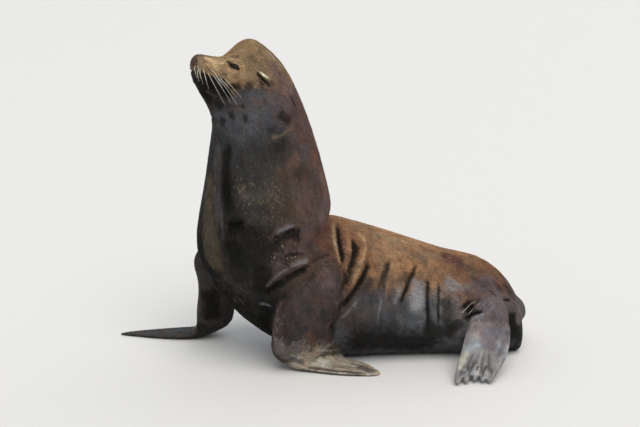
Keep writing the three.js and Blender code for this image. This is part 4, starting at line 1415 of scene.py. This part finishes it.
def new_group(name, inputs, outputs):
    """An empty shader group with named sockets."""
    group = bpy.data.node_groups.new(name, "ShaderNodeTree")
    for kind, sockets in (("INPUT", inputs), ("OUTPUT", outputs)):
        for socket, form, value in sockets:
            made = group.interface.new_socket(name=socket, in_out=kind, socket_type=form)
            if value is not None:
                made.default_value = value
    return group, group.nodes.new("NodeGroupInput"), group.nodes.new("NodeGroupOutput")


def mottled_group():
    """Object coordinates to fine hair grain, leather creases and a slow mottle."""
    inputs = [("Hair Size", "NodeSocketFloat", 1.0), ("Crease Size", "NodeSocketFloat", 1.0)]
    outputs = [(name, "NodeSocketFloat", None) for name in ("Hair", "Creases", "Mottle")]
    group, given, result = new_group("skin_grain", inputs, outputs)
    place = group.nodes.new("ShaderNodeTexCoord")
    hair = group.nodes.new("ShaderNodeTexNoise")
    set_sockets(hair, Detail=4, Roughness=0.65)
    creases = group.nodes.new("ShaderNodeTexVoronoi")
    creases.feature = "DISTANCE_TO_EDGE"
    mottle = group.nodes.new("ShaderNodeTexNoise")
    set_sockets(mottle, Scale=MOTTLE_SCALE, Detail=5)
    sized = (hair, HAIR_SCALE, "Hair Size"), (creases, CREASE_SCALE, "Crease Size")
    for texture, finest, socket in sized:
        scale = group.nodes.new("ShaderNodeMath")
        scale.operation = "DIVIDE"
        scale.inputs[0].default_value = finest
        group.links.new(given.outputs[socket], scale.inputs[1])
        group.links.new(scale.outputs[0], texture.inputs["Scale"])
    for texture in (hair, creases, mottle):
        group.links.new(place.outputs["Object"], texture.inputs["Vector"])
    group.links.new(hair.outputs["Fac"], result.inputs["Hair"])
    group.links.new(creases.outputs["Distance"], result.inputs["Creases"])
    group.links.new(mottle.outputs["Fac"], result.inputs["Mottle"])
    return group


SKIN_GRAIN = mottled_group()


class Material:
    """A small helper: makes a material with a Principled BSDF and links nodes by name."""

    def __init__(self, name, **sockets):
        self.made = bpy.data.materials.new(name)
        self.made.use_nodes = True
        self.tree = self.made.node_tree
        self.shader = self.tree.nodes["Principled BSDF"]
        set_sockets(self.shader, **sockets)

    def node(self, kind, **settings):
        node = self.tree.nodes.new("ShaderNode" + kind)
        for name, value in settings.items():
            setattr(node, name, value)
        return node

    def grain(self, **sockets):
        """The shared grain group, with this material's own sizes."""
        node = self.node("Group", node_tree=SKIN_GRAIN)
        set_sockets(node, **sockets)
        return node

    def noise(self, scale, detail):
        """The values of a noise laid out over the piece's own place."""
        node = self.node("TexNoise")
        set_sockets(node, Scale=scale, Detail=detail)
        self.link(self.node("TexCoord").outputs["Object"], node.inputs["Vector"])
        return node.outputs["Fac"]

    def link(self, source, target):
        self.tree.links.new(source, target)

    def shade(self, socket, source):
        """Feeds one socket of the Principled BSDF."""
        self.link(source, self.shader.inputs[socket])

    def attribute(self, name):
        return self.node("Attribute", attribute_name=name)

    def mix(self, kind, blend, share, first, second):
        """A Mix node; each of share, first and second is a socket or a value."""
        node = self.node("Mix", data_type=kind)
        if kind == "RGBA":
            node.blend_type = blend
        spots = {"FLOAT": (2, 3), "RGBA": (6, 7)}[kind]
        for spot, value in ((0, share), (spots[0], first), (spots[1], second)):
            if isinstance(value, bpy.types.NodeSocket):
                self.link(value, node.inputs[spot])
            else:
                node.inputs[spot].default_value = value
        return node.outputs[{"FLOAT": 0, "RGBA": 2}[kind]]

    def ranged(self, source, low, high, to_low, to_high):
        """The source, stretched from one range of values to another."""
        node = self.node("MapRange")
        set_sockets(node, From_Min=low, From_Max=high, To_Min=to_low, To_Max=to_high)
        self.link(source, node.inputs["Value"])
        return node.outputs["Result"]


def hide_material():
    hide = Material("hide", Specular_IOR_Level=0.16)
    marking, bare = hide.attribute("marking"), hide.attribute("bare")
    grain = hide.grain(Hair_Size=1.0, Crease_Size=1.0)
    slow = hide.ranged(grain.outputs["Mottle"], 0.3, 0.7, 0.80, 1.16)
    fine = hide.ranged(grain.outputs["Hair"], 0.3, 0.7, 0.86, 1.12)
    mottled = hide.mix("RGBA", "MULTIPLY", 1.0, marking.outputs["Color"], slow)
    hide.shade("Base Color", hide.mix("RGBA", "MULTIPLY", 0.7, mottled, fine))
    furred = hide.ranged(grain.outputs["Hair"], 0.3, 0.7, 0.48, 0.66)
    leather = hide.ranged(grain.outputs["Mottle"], 0.3, 0.7, 0.34, 0.5)
    hide.shade("Roughness", hide.mix("FLOAT", None, bare.outputs["Fac"], furred, leather))
    creases = hide.ranged(grain.outputs["Creases"], 0.0, 0.12, 0.0, 1.0)
    height = hide.mix("FLOAT", None, bare.outputs["Fac"], grain.outputs["Hair"], creases)
    bump = hide.node("Bump")
    set_sockets(bump, Strength=BUMP_STRENGTH, Distance=BUMP_DEPTH)
    hide.link(height, bump.inputs["Height"])
    hide.shade("Normal", bump.outputs["Normal"])
    return hide.made


def eye_material():
    """Dark wet brown, nearly black, with a clear gloss."""
    eye = Material("wet_eye", Roughness=0.07, Specular_IOR_Level=0.15)
    dark, brown = (0.006, 0.004, 0.003, 1), (0.022, 0.012, 0.007, 1)
    eye.shade("Base Color", eye.mix("RGBA", "MIX", eye.noise(220, 3), dark, brown))
    return eye.made


skin.data.materials.clear()
skin.data.materials.append(hide_material())
wet_eye = eye_material()
for ball in eyeballs:
    ball.data.materials.append(wet_eye)
shade_smooth(skin.data)
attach(skin, "root")
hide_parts(*FLESH)
print("the skin takes the place of", len(FLESH), "solids")

# %% [markdown]
# ## Which way the hair lies
# Hair lies from nose to tail and from shoulder to fingertip. At each point of the skin the lie is
# the direction of the nearest line, laid flat on the skin and evened out, with slow swirls where
# wet hair has dried in mats.

# %% The lie of the coat
def line_directions(places, line, blur=0.03):
    """The onward direction of a line beside each place."""
    rows = softened(between(line, 12), 6)
    onward = unit(np.gradient(rows, axis=0))
    gap = ((places[:, None, :] - rows[None]) ** 2).sum(2)
    share = np.exp(-(gap - gap.min(1, keepdims=True)) / blur**2)
    return unit((share / share.sum(1, keepdims=True)) @ onward)


def laid_flat(directions, normals):
    return unit(directions - (directions * normals).sum(1, keepdims=True) * normals)


outward = normals_of(skin.data)
lie = on_axis(points)[4]
limb_share = is_arm + is_hand + is_ankle + is_foot
for name, line in LIMB_LINES.items():
    arm = "arm" in name
    on_side = (points[:, 1] < (ARM_PART if arm else FOOT_PART)) == ("left" in name)
    chosen = np.flatnonzero(on_side & ((is_arm + is_hand if arm else is_ankle + is_foot) > 0.02))
    share = np.clip(limb_share[chosen], 0, 1)[:, None]
    lie[chosen] = lie[chosen] * (1 - share) + line_directions(points[chosen], line) * share
lie = laid_flat(net.even(laid_flat(lie, outward), 12), outward)
print("gave the coat its lie at", len(lie), "points")

# %% [markdown]
# ## The coat, tuft by tuft
# A sea lion's hair is short and lies flat, yet seen along the light it breaks into small pointed
# tufts. Each tuft is a closed sliver of six faces: rooted in the skin, widest in the middle, its
# tip laid back on the skin. Well over a hundred thousand of them are set out from arrays, which is
# far quicker than making them one by one. They are smallest on the face, the hands and the feet,
# and none grow close to an eye, in the mouth or under a sole.

# %% Where the tufts grow
SEED = 11
COATS = {
    # part: (parts, cell between roots, length, width, thickness, rise over the skin, material slot)
    "face": (("head", "nose"), 0.0041, 0.0105, 0.0022, 0.0005, 0.0009, "face"),
    "neck": (("neck",), 0.005, 0.0165, 0.0033, 0.0008, 0.0017, "neck"),
    "chest": (("chest",), 0.005, 0.0175, 0.0034, 0.0008, 0.0018, "chest"),
    "back": (("trunk",), 0.005, 0.017, 0.0032, 0.0008, 0.0016, "back"),
    "rump": (("rump", "tail"), 0.005, 0.016, 0.0032, 0.0008, 0.0016, "rump"),
    "arms": (("fore_arm",), 0.0048, 0.0135, 0.003, 0.0007, 0.0013, "arm"),
    "ankles": (("ankle",), 0.0048, 0.012, 0.0026, 0.0006, 0.0011, "ankle"),
    "hands": (("fore_flipper",), 0.005, 0.011, 0.0022, 0.0005, 0.0008, "flipper"),
    "feet": (("hind_flipper",), 0.005, 0.01, 0.0022, 0.0005, 0.0008, "hind_flipper"),
}
MOST_TUFTS = 31000  # in one piece, which keeps it below 200,000 triangles
TUFT_SPAN = 0.003  # how wide a tuft's patch is on the coat's map
TRIES = 4  # random roots tried for each cell
BALD_EYE = 0.003, 0.006  # no tuft grows nearer to an eye's slit, and all do farther away
BALD_LINE = 0.0035
SOLE_TOP = 0.008
chance = np.random.default_rng(SEED)

skin.data.calc_loop_triangles()
corners = read(skin.data.loop_triangles, "vertices", 3)
corner_places = points[corners]
cross = np.cross(corner_places[:, 1] - corner_places[:, 0], corner_places[:, 2] - corner_places[:, 0])
areas = np.linalg.norm(cross, axis=1) / 2
furless = np.clip(bareness, 0, 1)
for side in HEAD_SIDE:
    furless = np.maximum(furless, beside_eye(points, side, *BALD_EYE))
for name in ("mouth line", "nostril", "edge of the nose leather"):
    path, _, _, *where = FACE_FORMS[name]
    for line in all_paths(tree, path, where):
        furless = np.maximum(furless, nearness(points, line, BALD_LINE, ends=False))
furless[(points[:, 2] < SOLE_TOP) & (outward[:, 2] < -0.8)] = 1
print("the skin measures", round(float(areas.sum()), 2), "square metres")


def roots_on(parts, cell):
    """Even random roots on the named parts: their corners, shares of them, and places."""
    chosen = np.flatnonzero(belongs(*parts)[corners[:, 0]])
    total = np.cumsum(areas[chosen])
    tries = int(TRIES * total[-1] / cell**2)
    spots = np.searchsorted(total, chance.uniform(0, total[-1], tries))
    picked = chosen[spots.clip(0, len(chosen) - 1)]
    first, second = chance.uniform(0, 1, (2, tries))
    over = first + second > 1
    first, second = np.where(over, 1 - first, first), np.where(over, 1 - second, second)
    shares = np.stack([1 - first - second, first, second], 1)
    places = (points[corners[picked]] * shares[..., None]).sum(1)
    bald = (furless[corners[picked]] * shares).sum(1)
    _, alone = np.unique(np.floor(places / cell).astype(int), axis=0, return_index=True)
    alone = alone[chance.uniform(0, 1, len(alone)) > bald[alone]]
    return corners[picked[alone]], shares[alone], places[alone]


def carried(values, root_corners, shares):
    """A value of the skin's points read at the roots."""
    return (values[root_corners] * shares.reshape(len(shares), 3, *[1] * (values.ndim - 1))).sum(1)


# %% [markdown]
# ## Shaping and colouring a tuft
# Five points make a tuft: its root, three round its middle and its tip. Middle and tip are set
# over the skin under them, so a tuft follows a fold and never floats. Each point takes the colour
# of the skin under it, a little darker at the root and lighter at the tip, so coat and skin show
# the same markings, and each tuft differs a little, as bundles of hair do. On breast, back and
# wrist some whole tufts are painted pale, as painted highlights where the hair catches the light.

# %% Make the coat
SHEAF = np.array([(0, 2, 1), (0, 3, 2), (0, 1, 3), (4, 1, 2), (4, 2, 3), (4, 3, 1)])
SHEAF_SHADE = np.array([0.78, 0.95, 0.95, 1.02, 1.10])
SHEAF_PATCH = np.array([(0, -0.5), (-0.5, 0), (0.5, 0), (0, 0.1), (0, 0.5)]) * TUFT_SPAN
MIDDLE_AT, MIDDLE_RISE, TIP_RISE = 0.45, 0.62, 0.40  # shares of a tuft's length and of its rise
ROOT_DEEP, LOWEST = 0.0008, 0.0004  # how far a root is sunk, and how near a tuft comes to the floor
# Pale tufts as painted highlights, where the hair catches the light: path, reach, colour, share
FLECKS = {
    "breast": ([(242, 172), (246, 186), (256, 196), (272, 196), (288, 196)], 0.045, "fleck", 0.50),
    "low breast": ([(250, 206), (262, 216), (274, 226), (284, 240)], 0.050, "khaki", 0.40, "here"),
    "armpit": ([(266, 262), (280, 254), (292, 248), (300, 247)], 0.035, "fleck", 0.25, "here"),
    "keel": ([(218, 262), (226, 282), (238, 300), (244, 318)], 0.055, "khaki", 0.40, "here"),
    "back": ([(370, 250), (395, 255), (420, 262)], 0.040, "straw", 0.12),
    "arm edge": ([(284, 300), (278, 320), (276, 332), (279, 348)], 0.024, "cream", 0.50, "here"),
    "wrist": ([(278, 344), (288, 345), (302, 340), (322, 344)], 0.022, "cream", 0.40, "here"),
}


def colours_of_faces(mesh, colours):
    """The mean colour of each face's points."""
    loops = read(mesh.loops, "vertex_index", 1)[:, 0]
    starts = read(mesh.polygons, "loop_start", 1)[:, 0]
    sums = np.add.reduceat(colours[loops], starts)
    return sums / np.diff(np.append(starts, len(loops)))[:, None]


face_colours = colours_of_faces(skin.data, colours)


def under(places):
    """The skin's nearest place, its normal and its colour, for each place given."""
    found = [tree.find_nearest(place) for place in places.tolist()]
    near, normal = (np.array([hit[part] for hit in found]) for part in (0, 1))
    return near, normal, face_colours[[hit[2] for hit in found]]


def coat_piece(name, places, root_normals, along, root_colours, changes, sizes, spots, slot, material):
    """One joined mesh of many tufts, with its colours and its map."""
    length, width, thick, rise = (size[:, None] for size in sizes)
    aside = unit(np.cross(root_normals, along))
    middle, middle_normal, middle_colours = under(places + along * length * MIDDLE_AT)
    tip, tip_normal, tip_colours = under(places + along * length)
    middle = middle + middle_normal * rise * MIDDLE_RISE
    tip = tip + tip_normal * rise * TIP_RISE
    base = places - root_normals * ROOT_DEEP
    beside = aside * width * 0.5
    rings = [base, middle - beside, middle + beside, middle + middle_normal * thick, tip]
    tuft_points = np.stack(rings, 1).reshape(-1, 3)
    tuft_points[:, 2] = np.maximum(tuft_points[:, 2], LOWEST)
    tints = np.stack([root_colours, middle_colours, middle_colours, middle_colours, tip_colours], 1)
    tints = tints * changes[:, None, :] * SHEAF_SHADE[None, :, None]
    first = np.arange(len(places))[:, None, None] * len(rings)
    faces = (first + SHEAF[None]).reshape(-1, 3)
    mesh = bpy.data.meshes.new(name)
    mesh.vertices.add(len(tuft_points))
    mesh.vertices.foreach_set("co", tuft_points.astype(np.float32).ravel())
    mesh.loops.add(faces.size)
    mesh.loops.foreach_set("vertex_index", faces.astype(np.int32).ravel())
    mesh.polygons.add(len(faces))
    mesh.polygons.foreach_set("loop_start", np.arange(0, faces.size, 3, dtype=np.int32))
    shade_smooth(mesh)
    mesh.update(calc_edges=True)
    put_attribute(mesh, "marking", tints.reshape(-1, 3).clip(0, 0.9))
    patches = (spots[:, None, :] + SHEAF_PATCH[None]).reshape(-1, 2)
    layer = mesh.uv_layers.new(name="OFBake")
    layer.uv.foreach_set("vector", patches[faces.ravel()].astype(np.float32).ravel())
    mesh.materials.append(material)
    piece = in_scene(name, mesh)
    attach(piece, "root")
    return len(faces)


def coat_material():
    coat = Material("coat", Roughness=0.58, Specular_IOR_Level=0.12)
    marking = coat.attribute("marking")
    grain = coat.grain(Hair_Size=1.6, Crease_Size=1.0)
    fine = coat.ranged(grain.outputs["Hair"], 0.3, 0.7, 0.84, 1.14)
    coat.shade("Base Color", coat.mix("RGBA", "MULTIPLY", 1.0, marking.outputs["Color"], fine))
    coat.shade("Roughness", coat.ranged(grain.outputs["Mottle"], 0.3, 0.7, 0.46, 0.68))
    return coat.made


def turned(directions, normals, angles):
    """Directions turned about the normals."""
    sideways = np.cross(normals, directions)
    return directions * np.cos(angles)[:, None] + sideways * np.sin(angles)[:, None]


def map_spots(places):
    """Where roots lie on an unwrap of the skin: round the axis and along it, filling the map."""
    length, middle, back, right, _ = on_axis(places)
    away = places - middle
    round_it = np.arctan2((away * right).sum(1), (away * back).sum(1))
    flat = np.stack([round_it, length], 1)
    low, high = flat.min(0), flat.max(0)
    return 0.01 + 0.98 * (flat - low) / (high - low)


coat_look = coat_material()
tuft_count, triangle_count = 0, 0
for coat_name, (parts, cell, length, width, thick, rise, slot) in COATS.items():
    root_corners, shares, places = roots_on(parts, cell)
    root_normals = unit(carried(outward, root_corners, shares))
    along = laid_flat(carried(lie, root_corners, shares), root_normals)
    swirl = 0.20 * cloud(places, 0.050, 41) + 0.14 * cloud(places, 0.018, 42)
    along = turned(along, root_normals, swirl + chance.normal(0, 0.13, len(places)))
    root_colours = carried(colours, root_corners, shares)
    changes = np.exp(chance.normal(0, 0.11, len(places)))[:, None] * np.ones(3)
    # some tufts near each path are painted pale, as painted highlights
    for path, reach, tint, share, *where in FLECKS.values():
        for line in all_paths(tree, path, where):
            likely = nearness(places, line, reach) * share * (0.6 + 2.2 * cloud(places, 0.016, 43))
            pale = chance.uniform(0, 1, len(places)) < likely
            much = chance.uniform(0.10, 0.50, (pale.sum(), 1))
            changes[pale] *= 1 + much * (colour(tint) / root_colours[pale] - 1)
    vary = np.exp(chance.normal(0, 0.16, len(places)))
    sizes = np.stack([length * vary, width * vary**0.5, thick * vary, rise * vary])
    order = np.argsort(on_axis(places)[0])
    parts_needed = -(-len(order) // MOST_TUFTS)
    for number, chosen in enumerate(np.array_split(order, parts_needed)):
        triangle_count += coat_piece(
            f"coat_{coat_name}_{number + 1}",
            *(rows[chosen] for rows in (places, root_normals, along, root_colours, changes)),
            sizes[:, chosen],
            map_spots(places[chosen]),
            slot,
            coat_look,
        )
    tuft_count += len(order)
    print("coat of the", coat_name, "has", len(order), "tufts")
print("the whole coat has", tuft_count, "tufts and", triangle_count, "triangles")

# %% [markdown]
# ## Whiskers
# A bull's whiskers are long ivory bristles that hang from full pads and droop backwards. Each one
# is a curve with a round bevel, thick at its root and thin at its tip, turned into a mesh. The
# near side's are placed by where they start and end; the far side's are their mirror image.

# %% Grow the whiskers
WHISKERS = [
    # where it starts and ends in the picture, and how far it stands out, in metres
    ((195, 66), (197, 78), 0.020),
    ((197.5, 66), (201, 79), 0.026),
    ((200, 68), (203, 84), 0.030),
    ((203, 68), (207, 81), 0.034),
    ((204, 71), (209, 89), 0.034),
    ((208, 73), (225, 105), 0.040),
    ((213, 75), (231, 103), 0.044),
    ((216, 76), (237, 105), 0.042),
    ((220, 78), (236, 97), 0.036),
    ((225, 79), (242, 98), 0.034),
    ((211, 70), (222, 88), 0.040),
    ((198, 70), (199, 82), 0.018),
]
WHISKER_THICK = 0.0011
WHISKER_PLACES = 9
TIP_THIN = 0.78  # how much thinner the tip is than the root


def whisker_line(start, end, out):
    """Places along a bow from a root in the pad, out and down, to the tip."""
    root = seen(tree, *start)
    normal = tree.find_nearest(root)[1]
    far = (root - CAMERA_PLACE).length - out
    tip = CAMERA_PLACE + sight_line(*end) * far
    bend = root.lerp(tip, 0.35) + normal * out * 0.75
    rows = []
    for share in np.linspace(0, 1, WHISKER_PLACES):
        one, two = root.lerp(bend, share), bend.lerp(tip, share)
        rows.append(list(one.lerp(two, share)))
    return np.array(rows)


def bristles(name, lines):
    """Tapered round bristles along the given lines, as one mesh."""
    data = bpy.data.curves.new(name, "CURVE")
    data.dimensions = "3D"
    data.bevel_depth = WHISKER_THICK
    data.bevel_resolution = 1
    data.use_fill_caps = True
    for rows in lines:
        spline = data.splines.new("POLY")
        spline.points.add(len(rows) - 1)
        for number, (point, row) in enumerate(zip(spline.points, rows)):
            point.co = (*row, 1)
            point.radius = 1.0 - TIP_THIN * number / (len(rows) - 1)
    curve = in_scene(name + "_curve", data)
    shown = bpy.context.evaluated_depsgraph_get()
    mesh = bpy.data.meshes.new_from_object(curve.evaluated_get(shown))
    bpy.data.objects.remove(curve)
    mesh.name = name
    piece = in_scene(name, mesh)
    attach(piece, "root")
    return piece


def horn_material(name, light, dark, rough):
    """Horn and bristle: pale and dark streaks with a soft gloss."""
    horn = Material(name, Coat_Weight=0.15, Coat_Roughness=0.3)
    grain = horn.noise(260, 4)
    tone = horn.ranged(grain, 0.35, 0.65, 0.0, 1.0)
    horn.shade("Base Color", horn.mix("RGBA", "MIX", tone, (*dark, 1), (*light, 1)))
    horn.shade("Roughness", horn.ranged(grain, 0.3, 0.7, rough, rough + 0.15))
    return horn.made


near_lines = [whisker_line(*whisker) for whisker in WHISKERS]
far_lines = [mirrored(rows) for rows in near_lines]
bristle = horn_material("bristle", (0.78, 0.74, 0.66), (0.55, 0.50, 0.42), 0.35)
for name, lines in (("whiskers_left", near_lines), ("whiskers_right", far_lines)):
    bristles(name, lines).data.materials.append(bristle)
print("grew", 2 * len(WHISKERS), "whiskers")

# %% [markdown]
# ## Pale hairs in the fold of the thigh
# Some long pale hairs lie along the fold. They are the
# same tapered bristles as the whiskers, set a little over the coat.

# %% Pale hairs in the fold of the thigh
THIGH_HAIRS = (
    [(462.5, 312.5), (470, 305.5), (477.5, 299.5)],
    [(468.5, 313.5), (475, 308), (481, 303.5)],
)
OVER_COAT, PAIR_HALF = 0.0035, 0.0011  # how high the hairs lie, and half the gap of two
hair_lines = []
for path in THIGH_HAIRS:
    rows = path_on_skin(tree, path)
    over_coat = np.array([list(tree.find_nearest(row)[1]) for row in rows.tolist()]) * OVER_COAT
    for shift in (-PAIR_HALF, PAIR_HALF):
        hair_lines.append(softened(rows + over_coat, 4) + np.array([(shift, 0, shift)]))
bristles("thigh_hairs", hair_lines).data.materials.append(bristle)
print("laid", len(hair_lines), "pale hairs in the fold of the near thigh")

# %% [markdown]
# ## Claws
# A sea lion's three middle toes carry small blunt claws on top of the foot. Their solids already
# have the right shape, so they only get a material: dark worn horn.

# %% Claws
claw_horn = horn_material("claw_horn", (0.085, 0.075, 0.068), (0.035, 0.030, 0.028), 0.3)
claws = [node for name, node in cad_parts.items() if name.startswith("claw_")]
for claw in claws:
    for spot in claw.material_slots:
        spot.material = claw_horn
print("gave horn to", len(claws), "claws")

# %% [markdown]
# ## Thinning the net where it is flat
# The coat is placed, so the skin no longer needs its finest net everywhere. The Decimate modifier
# removes points where they matter least. A vertex group keeps it away from the eyes and holds it
# back on ears and flippers.

# %% Thin the skin
MOST_TRIANGLES = 192000
KEPT_EYE = 0.034  # round an eye's middle no point is removed
may_thin = np.ones(len(points))
may_thin[belongs("fore_flipper", "hind_flipper", "ear") > 0] = 0.5
for middle in eye_middle.values():
    may_thin[np.linalg.norm(points - np.array(middle), axis=1) < KEPT_EYE] = 0
group = skin.vertex_groups.new(name="may_thin")
for value in np.unique(may_thin):
    group.add(np.flatnonzero(may_thin == value).tolist(), float(value), "REPLACE")
thin = skin.modifiers.new("thin", "DECIMATE")
thin.ratio = MOST_TRIANGLES / len(corners)
thin.vertex_group = "may_thin"
thin.vertex_group_factor = 0.5
apply_modifiers(skin)
shade_smooth(skin.data)
skin.vertex_groups.clear()
skin.data.calc_loop_triangles()
print("the thinned skin has", len(skin.data.loop_triangles), "triangles")
